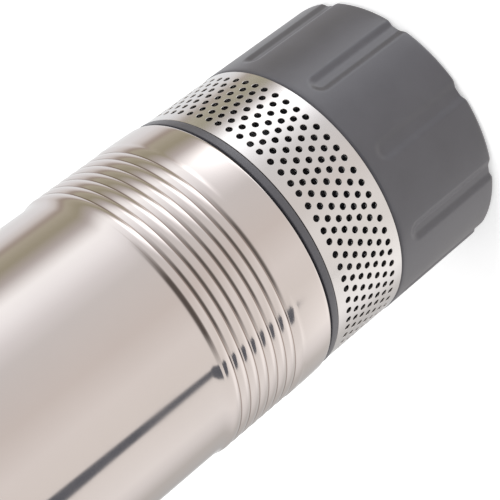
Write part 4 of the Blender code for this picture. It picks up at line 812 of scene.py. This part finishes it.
neck = RIM_BORE - 0.5
outline = [(SPIGOT_RADIUS - SPIGOT_WALL, HEAD_BOTTOM), (SPIGOT_RADIUS, HEAD_BOTTOM),
           (SPIGOT_RADIUS, HEAD_FLANGE_TOP), (neck, HEAD_FLANGE_TOP),
           (neck, HEAD_FLANGE_TOP + 3.6), (40.0, HEAD_FLANGE_TOP + 10.0),
           (OUTLET_BOSS_RADIUS, HEAD_FLANGE_TOP + 21.0), (OUTLET_BOSS_RADIUS, HEAD_TOP),
           (INSERT_RADIUS + 0.3, HEAD_TOP), (INSERT_RADIUS + 0.3, INSERT_BOTTOM - 0.3),
           (VALVE_BORE, INSERT_BOTTOM - 0.3), (VALVE_BORE, HEAD_FLANGE_TOP + 8.5),
           (SPIGOT_RADIUS - SPIGOT_WALL, HEAD_FLANGE_TOP - 3.6)]
head = turned("head", outline, 160, corner=1.2)
cut_by(head, cylinder(64, GLAND_BORE, 17.0, (0.0, GLAND_OFFSET, GLAND_TOP - 3.5)))
column = turned("column", [(GLAND_BORE, GLAND_SHOULDER), (GLAND_BORE, GLAND_TOP),
                           (GLAND_COLUMN, GLAND_TOP), (GLAND_COLUMN, HEAD_FLANGE_TOP - 10.0),
                           (CORD_BORE, HEAD_FLANGE_TOP - 10.0), (CORD_BORE, GLAND_SHOULDER)],
                64, corner=0.8)
placed(column, y=GLAND_OFFSET)
ear_outline = softened([(OUTLET_BOSS_RADIUS - 1.0, HEAD_FLANGE_TOP + 3.6),
                        (EAR_RADIUS - 3.0, HEAD_FLANGE_TOP + 3.6), (EAR_RADIUS, HEAD_FLANGE_TOP + 10.0),
                        (EAR_RADIUS, EAR_TOP), (OUTLET_BOSS_RADIUS - 1.0, EAR_TOP)], 7.0, steps=6)
ear = slab("ear", ear_outline, EAR_THICKNESS)
cut_by(ear, cylinder(64, EAR_HOLE_RADIUS, 20.0, EAR_HOLE, turn=(math.pi / 2.0, 0.0, 0.0)))
other_ear = placed(copied(ear, "other_ear"), turn=180.0)
head = joined([head, column, ear, other_ear])
applied(head, "REMESH", mode="VOXEL", voxel_size=VOXEL * MM)
applied(head, "SMOOTH", factor=0.5, iterations=5)
alone(head)
bpy.ops.object.shade_smooth_by_angle(angle=math.radians(60.0))
coated(head, moulded_plastic)
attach(head, "pump_body")
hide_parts("discharge_head")
print("head:", len(head.data.polygons), "faces")

# %% [markdown]
# ## The outlet
#
# A brass sleeve with a G1 pipe thread sits in the head. The thread is a real one: the bore is
# turned with many rows, and each point is pushed outwards by where it stands on the helix. That
# keeps a closed, even mesh, where a swept tooth would leave edges inside the wall.

# %% Outlet insert
THREAD_PITCH = 2.309
THREAD_DEPTH = 1.2
OUTLET_RADIUS = 15.15
THREAD_ROWS = 96

bore_rows = [(OUTLET_RADIUS, HEAD_TOP - 1.2 - (HEAD_TOP - 2.0 - INSERT_BOTTOM) * row / THREAD_ROWS)
             for row in range(THREAD_ROWS + 1)]
outline = [(OUTLET_RADIUS + 0.9, INSERT_BOTTOM), (INSERT_RADIUS - 0.4, INSERT_BOTTOM),
           (INSERT_RADIUS, INSERT_BOTTOM + 0.4), (INSERT_RADIUS, HEAD_TOP - 0.4),
           (INSERT_RADIUS - 0.4, HEAD_TOP), (OUTLET_RADIUS + 1.6, HEAD_TOP)]
outlet = turned("outlet_thread", outline + bore_rows, 96, sharp=50.0)
thread_low = INSERT_BOTTOM + 1.5
thread_high = HEAD_TOP - 1.6
for vertex in outlet.data.vertices:
    x, y, z = vertex.co / MM
    radius = math.hypot(x, y)
    if abs(radius - OUTLET_RADIUS) < NEAR and thread_low < z < thread_high:
        turn = z / THREAD_PITCH - math.atan2(y, x) / FULL_TURN
        tooth = abs(2.0 * (turn % 1.0) - 1.0)
        depth = THREAD_DEPTH * min(1.0, max(0.0, 1.25 * tooth - 0.1))
        vertex.co.x *= (radius + depth) / radius
        vertex.co.y *= (radius + depth) / radius
coated(outlet, turned_brass)
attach(outlet, "pump_body")
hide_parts("outlet_insert")

# %% [markdown]
# ## The check valve
#
# Looking down into the outlet one sees the valve: its cage with three arms, and through it the
# spring and the closing plate. Seat, cage and plate are turned brass; the plate moves on the
# valve's own body, so it rides there.

# %% Check valve
VALVE_FIT = 14.5
SEAT_BORE = 9.0
STEM_BORE = 2.5
PLATE_RADIUS = 11.5
SEAT = (477.3, 481.3)
WASHER = (481.6, 483.1)
PLATE = (483.4, 485.6)
STEM = (477.6, 499.8)
CAGE = (495.8, 499.8)
CAGE_BORE = 12.1
CAGE_HUB = 6.0
CAGE_ARMS = 3

seat = turned("valve_seat_turned", oblong(SEAT_BORE, VALVE_FIT, *SEAT), 96, corner=0.3)
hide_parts("valve_seat")
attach(seat, "pump_body")
washer = turned("valve_washer_pressed", oblong(STEM_BORE, PLATE_RADIUS, *WASHER), 96, corner=0.3)
coated(washer, black_rubber)
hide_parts("valve_washer")
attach(washer, "valve")
poppet_outline = [(0.0, STEM[0]), (1.7, STEM[0]), (2.0, STEM[0] + 0.3), (2.0, PLATE[0]),
                  (PLATE_RADIUS - 0.3, PLATE[0]), (PLATE_RADIUS, PLATE[0] + 0.3),
                  (PLATE_RADIUS, PLATE[1] - 0.3), (PLATE_RADIUS - 0.3, PLATE[1]), (2.4, PLATE[1]),
                  (2.0, PLATE[1] + 0.4), (2.0, STEM[1] - 0.5), (1.5, STEM[1]), (0.0, STEM[1])]
poppet = turned("valve_poppet_turned", poppet_outline, 64)
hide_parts("valve_poppet")
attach(poppet, "valve")
cage_ring = turned("valve_cage_turned", oblong(CAGE_BORE, VALVE_FIT, *CAGE), 96, corner=0.3)
cage_hub = turned("cage_hub", oblong(STEM_BORE, CAGE_HUB, *CAGE), 48, corner=0.3)
cage_parts = [cage_ring, cage_hub]
spoke_outline = oblong(CAGE_HUB - OVERLAP, CAGE_BORE + OVERLAP, CAGE[0] + 0.5, CAGE[1] - 0.1)
for index in range(CAGE_ARMS):
    spoke = slab("spoke", spoke_outline, 2.6)
    applied(spoke, "BEVEL", width=0.25 * MM, segments=2)
    cage_parts.append(placed(spoke, turn=360.0 / CAGE_ARMS * index))
cage = joined(cage_parts)
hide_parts("valve_cage")
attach(cage, "pump_body")
for piece in (seat, poppet, cage):
    coated(piece, turned_brass)

# %% [markdown]
# The spring is pushed together as the plate lifts, so it can't simply ride on either of them. It
# takes the imported spring's shape, merged and smoothed, and gets a mesh of its own on the pump's
# body; nothing here squashes it.

low, high = span("valve_spring")
spring = tidied(copied(nodes["valve_spring"], "valve_spring_wound"))
coated(spring, machined_steel)
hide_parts("valve_spring")
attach(spring, "pump_body")
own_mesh(spring)
print("spring at rest:", round(high.z - low.z, 2), "mm")

# %% [markdown]
# ## The cable gland
#
# A hexagon nut presses a rubber bush onto the cable. The nut starts as a six-sided prism, and a
# turned blank with a domed edge is intersected with it, because that is how a nut gets its
# curved chamfers. No cable is shown, so the bush has an open bore.

# %% Gland
NUT_FLATS = 16.5
NUT = (494.6, 503.6)
CABLE_BORE = 4.4
BUSH = (481.1, 492.8)
BUSH_BORE = 4.1
BUSH_RADIUS = 6.2

nut = turned("gland_nut_domed", [(CABLE_BORE, NUT[0]), (9.1, NUT[0]), (9.6, NUT[0] + 0.6),
                                 (9.6, NUT[1] - 2.6), (8.6, NUT[1] - 0.9), (6.6, NUT[1]),
                                 (CABLE_BORE + 0.5, NUT[1]), (CABLE_BORE, NUT[1] - 0.5)], 96)
nut_corner = NUT_FLATS / 2.0 / math.cos(math.pi / 6.0)
prism = cylinder(6, nut_corner, 20.0, (0.0, 0.0, (NUT[0] + NUT[1]) / 2.0))
applied(prism, "BEVEL", width=0.5 * MM, segments=3)
cut_by(nut, prism, "INTERSECT")
placed(nut, y=GLAND_OFFSET)
bpy.ops.object.shade_smooth_by_angle(angle=math.radians(25.0))
coated(nut, moulded_plastic)
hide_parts("gland_nut")
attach(nut, "pump_body")
bush = turned("gland_bush_moulded", oblong(BUSH_BORE, BUSH_RADIUS, *BUSH), 64, corner=0.5)
placed(bush, y=GLAND_OFFSET)
coated(bush, black_rubber)
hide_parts("gland_bush")
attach(bush, "pump_body")

# %% [markdown]
# ## The foot's screws
#
# Four pan head screws, seen only from below. A turned blank gets a cross cut into its head.

# %% Foot screws
HEAD_HEIGHT = 3.0
SCREW_LENGTH = 27.0
SHANK_RADIUS = 2.0

low = span("foot_screw_1")[0].z
blank = turned("screw", [(0.0, low), (3.2, low), (4.1, low + 0.7), (4.3, low + 1.6),
                         (4.3, low + HEAD_HEIGHT), (SHANK_RADIUS, low + HEAD_HEIGHT),
                         (SHANK_RADIUS, low + SCREW_LENGTH - 0.5),
                         (SHANK_RADIUS - 0.5, low + SCREW_LENGTH), (0.0, low + SCREW_LENGTH)], 40)
for turn in (0.0, 90.0):
    wedge_outline = [(-2.3, low - 1.0), (2.3, low - 1.0), (1.3, low + 1.7), (-1.3, low + 1.7)]
    cut_by(blank, placed(slab("wedge", wedge_outline, 0.9), turn=turn))
alone(blank)
bpy.ops.object.shade_smooth_by_angle(angle=math.radians(35.0))
for index in range(SCREW_COUNT):
    screw = at_screw(copied(blank, f"foot_screw_cross_{index + 1}"), index)
    coated(screw, machined_steel)
    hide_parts(f"foot_screw_{index + 1}")
    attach(screw, "pump_body")
bpy.data.objects.remove(blank, do_unlink=True)

# %% [markdown]
# ## Finishes of the parts that stay
#
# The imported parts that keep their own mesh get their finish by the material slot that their
# record names, so the table below is one line a finish, whatever the number of parts.

# %% Finishes by slot
finishes = {
    "polished_steel": polished_steel,
    "satin_steel": satin_steel,
    "grey_plastic": moulded_plastic,
    "stage_plastic": stage_plastic,
    "machined_steel": machined_steel,
    "brass": turned_brass,
    "cast_aluminium": cast_aluminium,
    "laminated_steel": stacked_sheets,
    "lacquered_copper": winding_wire,
    "black_rubber": black_rubber,
    "ceramic": lapped_ceramic,
}
for part in frame["record"]["subparts"]:
    slots = nodes[part["node"]].material_slots
    for slot in slots:
        slot.material = finishes[part["material_slot"]]

# %% [markdown]
# ## Studio
#
# The floor is white and stays white in the picture: to the camera it glows a little on top of
# the light that it gets, so that only the pump's own shadow is left on it. A mirror shows its
# surroundings more than itself, so the steel needs something to mirror. The world gives glossy
# rays a white room with a few darker and warmer bands at set directions around the pump. The
# camera sees plain white, and every other ray gets plain soft light.

# %% Floor
WHITE = (1.0, 1.0, 1.0, 1.0)
FLOOR_GLOW = 0.45

bpy.ops.object.select_all(action="DESELECT")
bpy.ops.mesh.primitive_plane_add(size=12.0, location=(0.0, 0.0, -0.0006))
floor = bpy.context.object
floor.name = "floor"
floor.visible_glossy = False
paper = bpy.data.materials.new("white_paper")
paper.use_nodes = True
tree = paper.node_tree
tree.nodes.clear()
matte = add(tree, "BsdfDiffuse", {"Color": linear("#E6E6E6")})
path = add(tree, "LightPath")
amount = add(tree, "Math", {0: path.outputs["Is Camera Ray"], 1: FLOOR_GLOW}, operation="MULTIPLY")
glow = add(tree, "Emission", {"Color": WHITE, "Strength": amount})
lit = add(tree, "AddShader", {0: matte, 1: glow})
add(tree, "OutputMaterial", {"Surface": lit})
floor.data.materials.append(paper)

# %% [markdown]
# The room that the steel mirrors is a ramp of light around the pump: white walls, a warm grey
# side where the camera stands, a softbox between azimuth 50 and 90 degrees, and an olive brown
# edge beyond it. Three things also depend on height. Low down the softbox's side and, less so,
# the side across from it are brighter, which lights the foot more than the tube. Above the
# horizon, behind the camera, the room is dark, and the ridges catch that as thin crescents. And
# a dark stand at azimuth -61, wider towards its top, draws the streak along the tube.
#
# Azimuths are in degrees, a height is the Z of a direction, and a stop is a colour or a share.
# The stand's shares are of the half width STAND_WIDEST, in degrees.

# %% The room in numbers
AMBIENT = 0.5
ROOM_LIGHT = 1.3
LOW_LIGHT = 2.3
AROUND = (-180.0, 180.0)
UPWARDS = (-1.0, 1.0)
ROOM = [
    (-180.0, "#DCDCDC"), (-162.0, "#C8C8C8"), (-150.0, "#A9A7A6"), (-125.0, "#B6B2AF"),
    (-108.0, "#D6D2D1"), (-96.0, "#E3DFDD"), (-50.0, "#D8D2CE"), (-27.0, "#DAD4D1"), (0.0, "#CBC3BF"),
    (36.0, "#CAC6C5"), (49.0, "#D8D5D6"), (64.0, "#F1F0F2"), (76.0, "#FCFCFD"), (82.0, "#E8E6E6"),
    (92.0, "#B1AAA8"), (104.0, "#98927F"), (117.0, "#AAA494"), (123.0, "#9C9087"),
    (131.0, "#CBC6C4"), (142.0, "#D8D7D9"), (165.0, "#D9DADB"),
]
LOW_BY_AZIMUTH = [(-180.0, 0.0), (-165.0, 0.3), (-90.0, 0.3), (-50.0, 0.0), (40.0, 0.0),
                  (55.0, 0.45), (70.0, 1.0), (78.0, 1.0), (98.0, 0.0)]
LOW_BY_HEIGHT = [(-1.0, 1.0), (-0.6, 1.0), (-0.52, 0.5), (-0.44, 0.0)]
DARK_ROOM = "#4C4541"
DARK_BY_AZIMUTH = [(-62.0, 0.0), (-30.0, 1.0), (15.0, 1.0), (55.0, 0.0)]
DARK_BY_HEIGHT = [(-0.12, 0.0), (0.02, 0.85), (0.24, 1.0), (0.32, 0.6), (0.42, 1.0), (0.7, 0.9),
                  (0.9, 0.0)]
CEILING = "#A39B96"
CEILING_FROM = 0.14
CEILING_FULL = 0.3
STAND = "#595B62"
STAND_AZIMUTH = -61.2
STAND_WIDEST = 10.0
STAND_BY_HEIGHT = [(-0.475, 0.0), (-0.466, 0.34), (-0.455, 0.34), (-0.446, 0.22), (-0.41, 0.3),
                   (-0.36, 0.5), (-0.3, 0.66), (0.02, 0.66), (0.04, 0.0)]
STAND_BLUR = 0.12

# %% [markdown]
# The world isn't sampled as a lamp. Its light depends on the kind of ray that meets it, so only
# the rays that leave a surface can say how much of it arrives. Each list of stops becomes one
# ramp, over the azimuth or over the height.

# %% World
world = bpy.data.worlds.new("studio")
bpy.context.scene.world = world
world.use_nodes = True
world.cycles.sampling_method = "NONE"
tree = world.node_tree
tree.nodes.clear()
direction = add(tree, "TexCoord").outputs["Generated"]
axes = add(tree, "SeparateXYZ", {0: direction})
azimuth = add(tree, "Math", {0: axes.outputs["Y"], 1: axes.outputs["X"]}, operation="ARCTAN2")
turn = add(tree, "MapRange", {"Value": azimuth, "From Min": -math.pi, "From Max": math.pi})
level = add(tree, "MapRange", {"Value": axes.outputs["Z"], "From Min": -1.0, "From Max": 1.0})
ramps = []
for source, (first, last), stops in (
        (turn, AROUND, ROOM), (turn, AROUND, LOW_BY_AZIMUTH), (level, UPWARDS, LOW_BY_HEIGHT),
        (turn, AROUND, DARK_BY_AZIMUTH), (level, UPWARDS, DARK_BY_HEIGHT),
        (level, UPWARDS, STAND_BY_HEIGHT)):
    ramp = add(tree, "ValToRGB", {"Fac": source})
    elements = ramp.color_ramp.elements
    elements.remove(elements[1])
    for index, (place, value) in enumerate(stops):
        position = (place - first) / (last - first)
        element = elements.new(position) if index else elements[0]
        element.position = position
        element.color = linear(value) if isinstance(value, str) else (value, value, value, 1.0)
    ramps.append(ramp)
room, low_turn, low_level, dark_turn, dark_level, widths = ramps
low_share = add(tree, "Math", {0: low_turn, 1: low_level}, operation="MULTIPLY")
strength = add(tree, "MapRange", {"Value": low_share, "To Min": ROOM_LIGHT, "To Max": LOW_LIGHT})

# %% Ceiling, the dark behind the camera, and the stand
over = add(tree, "MapRange", {"Value": axes.outputs["Z"], "From Min": CEILING_FROM,
                              "From Max": CEILING_FULL}, interpolation_type="SMOOTHSTEP")
with_ceiling = add(tree, "Mix", {0: over, 6: room, 7: linear(CEILING)}, data_type="RGBA")
behind = add(tree, "Math", {0: dark_turn, 1: dark_level}, operation="MULTIPLY")
with_dark = add(tree, "Mix", {0: behind, 6: with_ceiling.outputs[2], 7: linear(DARK_ROOM)},
                data_type="RGBA")
offset = add(tree, "Math", {0: azimuth, 1: math.radians(STAND_AZIMUTH)}, operation="SUBTRACT")
aside = add(tree, "Math", {0: offset}, operation="ABSOLUTE")
aside_share = add(tree, "Math", {0: aside, 1: math.radians(STAND_WIDEST)}, operation="DIVIDE")
inside = add(tree, "Math", {0: widths, 1: aside_share}, operation="SUBTRACT")
stand = add(tree, "MapRange", {"Value": inside, "From Min": 0.0, "From Max": STAND_BLUR},
            interpolation_type="SMOOTHSTEP")
colour = add(tree, "Mix", {0: stand, 6: with_dark.outputs[2], 7: linear(STAND)}, data_type="RGBA")

# %% What each kind of ray sees
path = add(tree, "LightPath")
plain = add(tree, "Background", {"Color": WHITE, "Strength": AMBIENT})
seen = add(tree, "Background", {"Color": WHITE, "Strength": 1.0})
mirrored = add(tree, "Background", {"Color": colour.outputs[2], "Strength": strength})
glossy = add(tree, "MixShader", {0: path.outputs["Is Glossy Ray"], 1: plain, 2: mirrored})
either = add(tree, "Math", {0: path.outputs["Is Camera Ray"],
                            1: path.outputs["Is Transmission Ray"]}, operation="MAXIMUM")
final = add(tree, "MixShader", {0: either, 1: glossy, 2: seen})
add(tree, "OutputWorld", {"Surface": final})

# %% Lamps
LAMPS = [
    ("side_softbox", (0.75, 1.35, 0.9), 0.9, 16.0),
    ("far_softbox", (0.2, -1.6, 0.8), 1.0, 10.0),
    ("top_softbox", (-0.3, 0.2, 1.9), 1.2, 12.0),
]
aim = Vector((0.0, 0.0, 0.15))
for name, place, size, power in LAMPS:
    light = bpy.data.lights.new(name, "AREA")
    light.shape = "SQUARE"
    light.size = size
    light.energy = power
    lamp = bpy.data.objects.new(name, light)
    lamp.location = place
    lamp.rotation_euler = (aim - Vector(place)).to_track_quat("-Z", "Y").to_euler()
    lamp.visible_glossy = False
    lamp.visible_camera = False
    bpy.context.scene.collection.objects.link(lamp)

# %% [markdown]
# ## Camera
#
# The picture was taken with the pump lying across it, foot at the upper right. Here the pump
# stands, so the camera is rolled instead. Its place, aim, roll and field of view come from
# fitting circles of known height on the pump to the picture.

# %% Camera
CAMERA_PLACE = Vector((512.5, 66.8, 354.3))
CAMERA_AIM = Vector((0.73, -5.07, 71.71))
CAMERA_ROLL = -128.33
PIXELS = 500.0
FOCAL_PIXELS = 1800.0

camera_data = bpy.data.cameras.new("camera")
camera = bpy.data.objects.new("camera", camera_data)
bpy.context.scene.collection.objects.link(camera)
camera.location = CAMERA_PLACE * MM
level = (CAMERA_AIM - CAMERA_PLACE).to_track_quat("-Z", "Y")
roll = Quaternion((0.0, 0.0, 1.0), math.radians(CAMERA_ROLL))
camera.rotation_euler = (level @ roll).to_euler()
camera_data.sensor_width = 36.0
camera_data.lens = FOCAL_PIXELS * camera_data.sensor_width / PIXELS
camera_data.clip_start = 0.01
camera_data.clip_end = 50.0
bpy.context.scene.camera = camera
bpy.context.scene.view_settings.view_transform = "Standard"
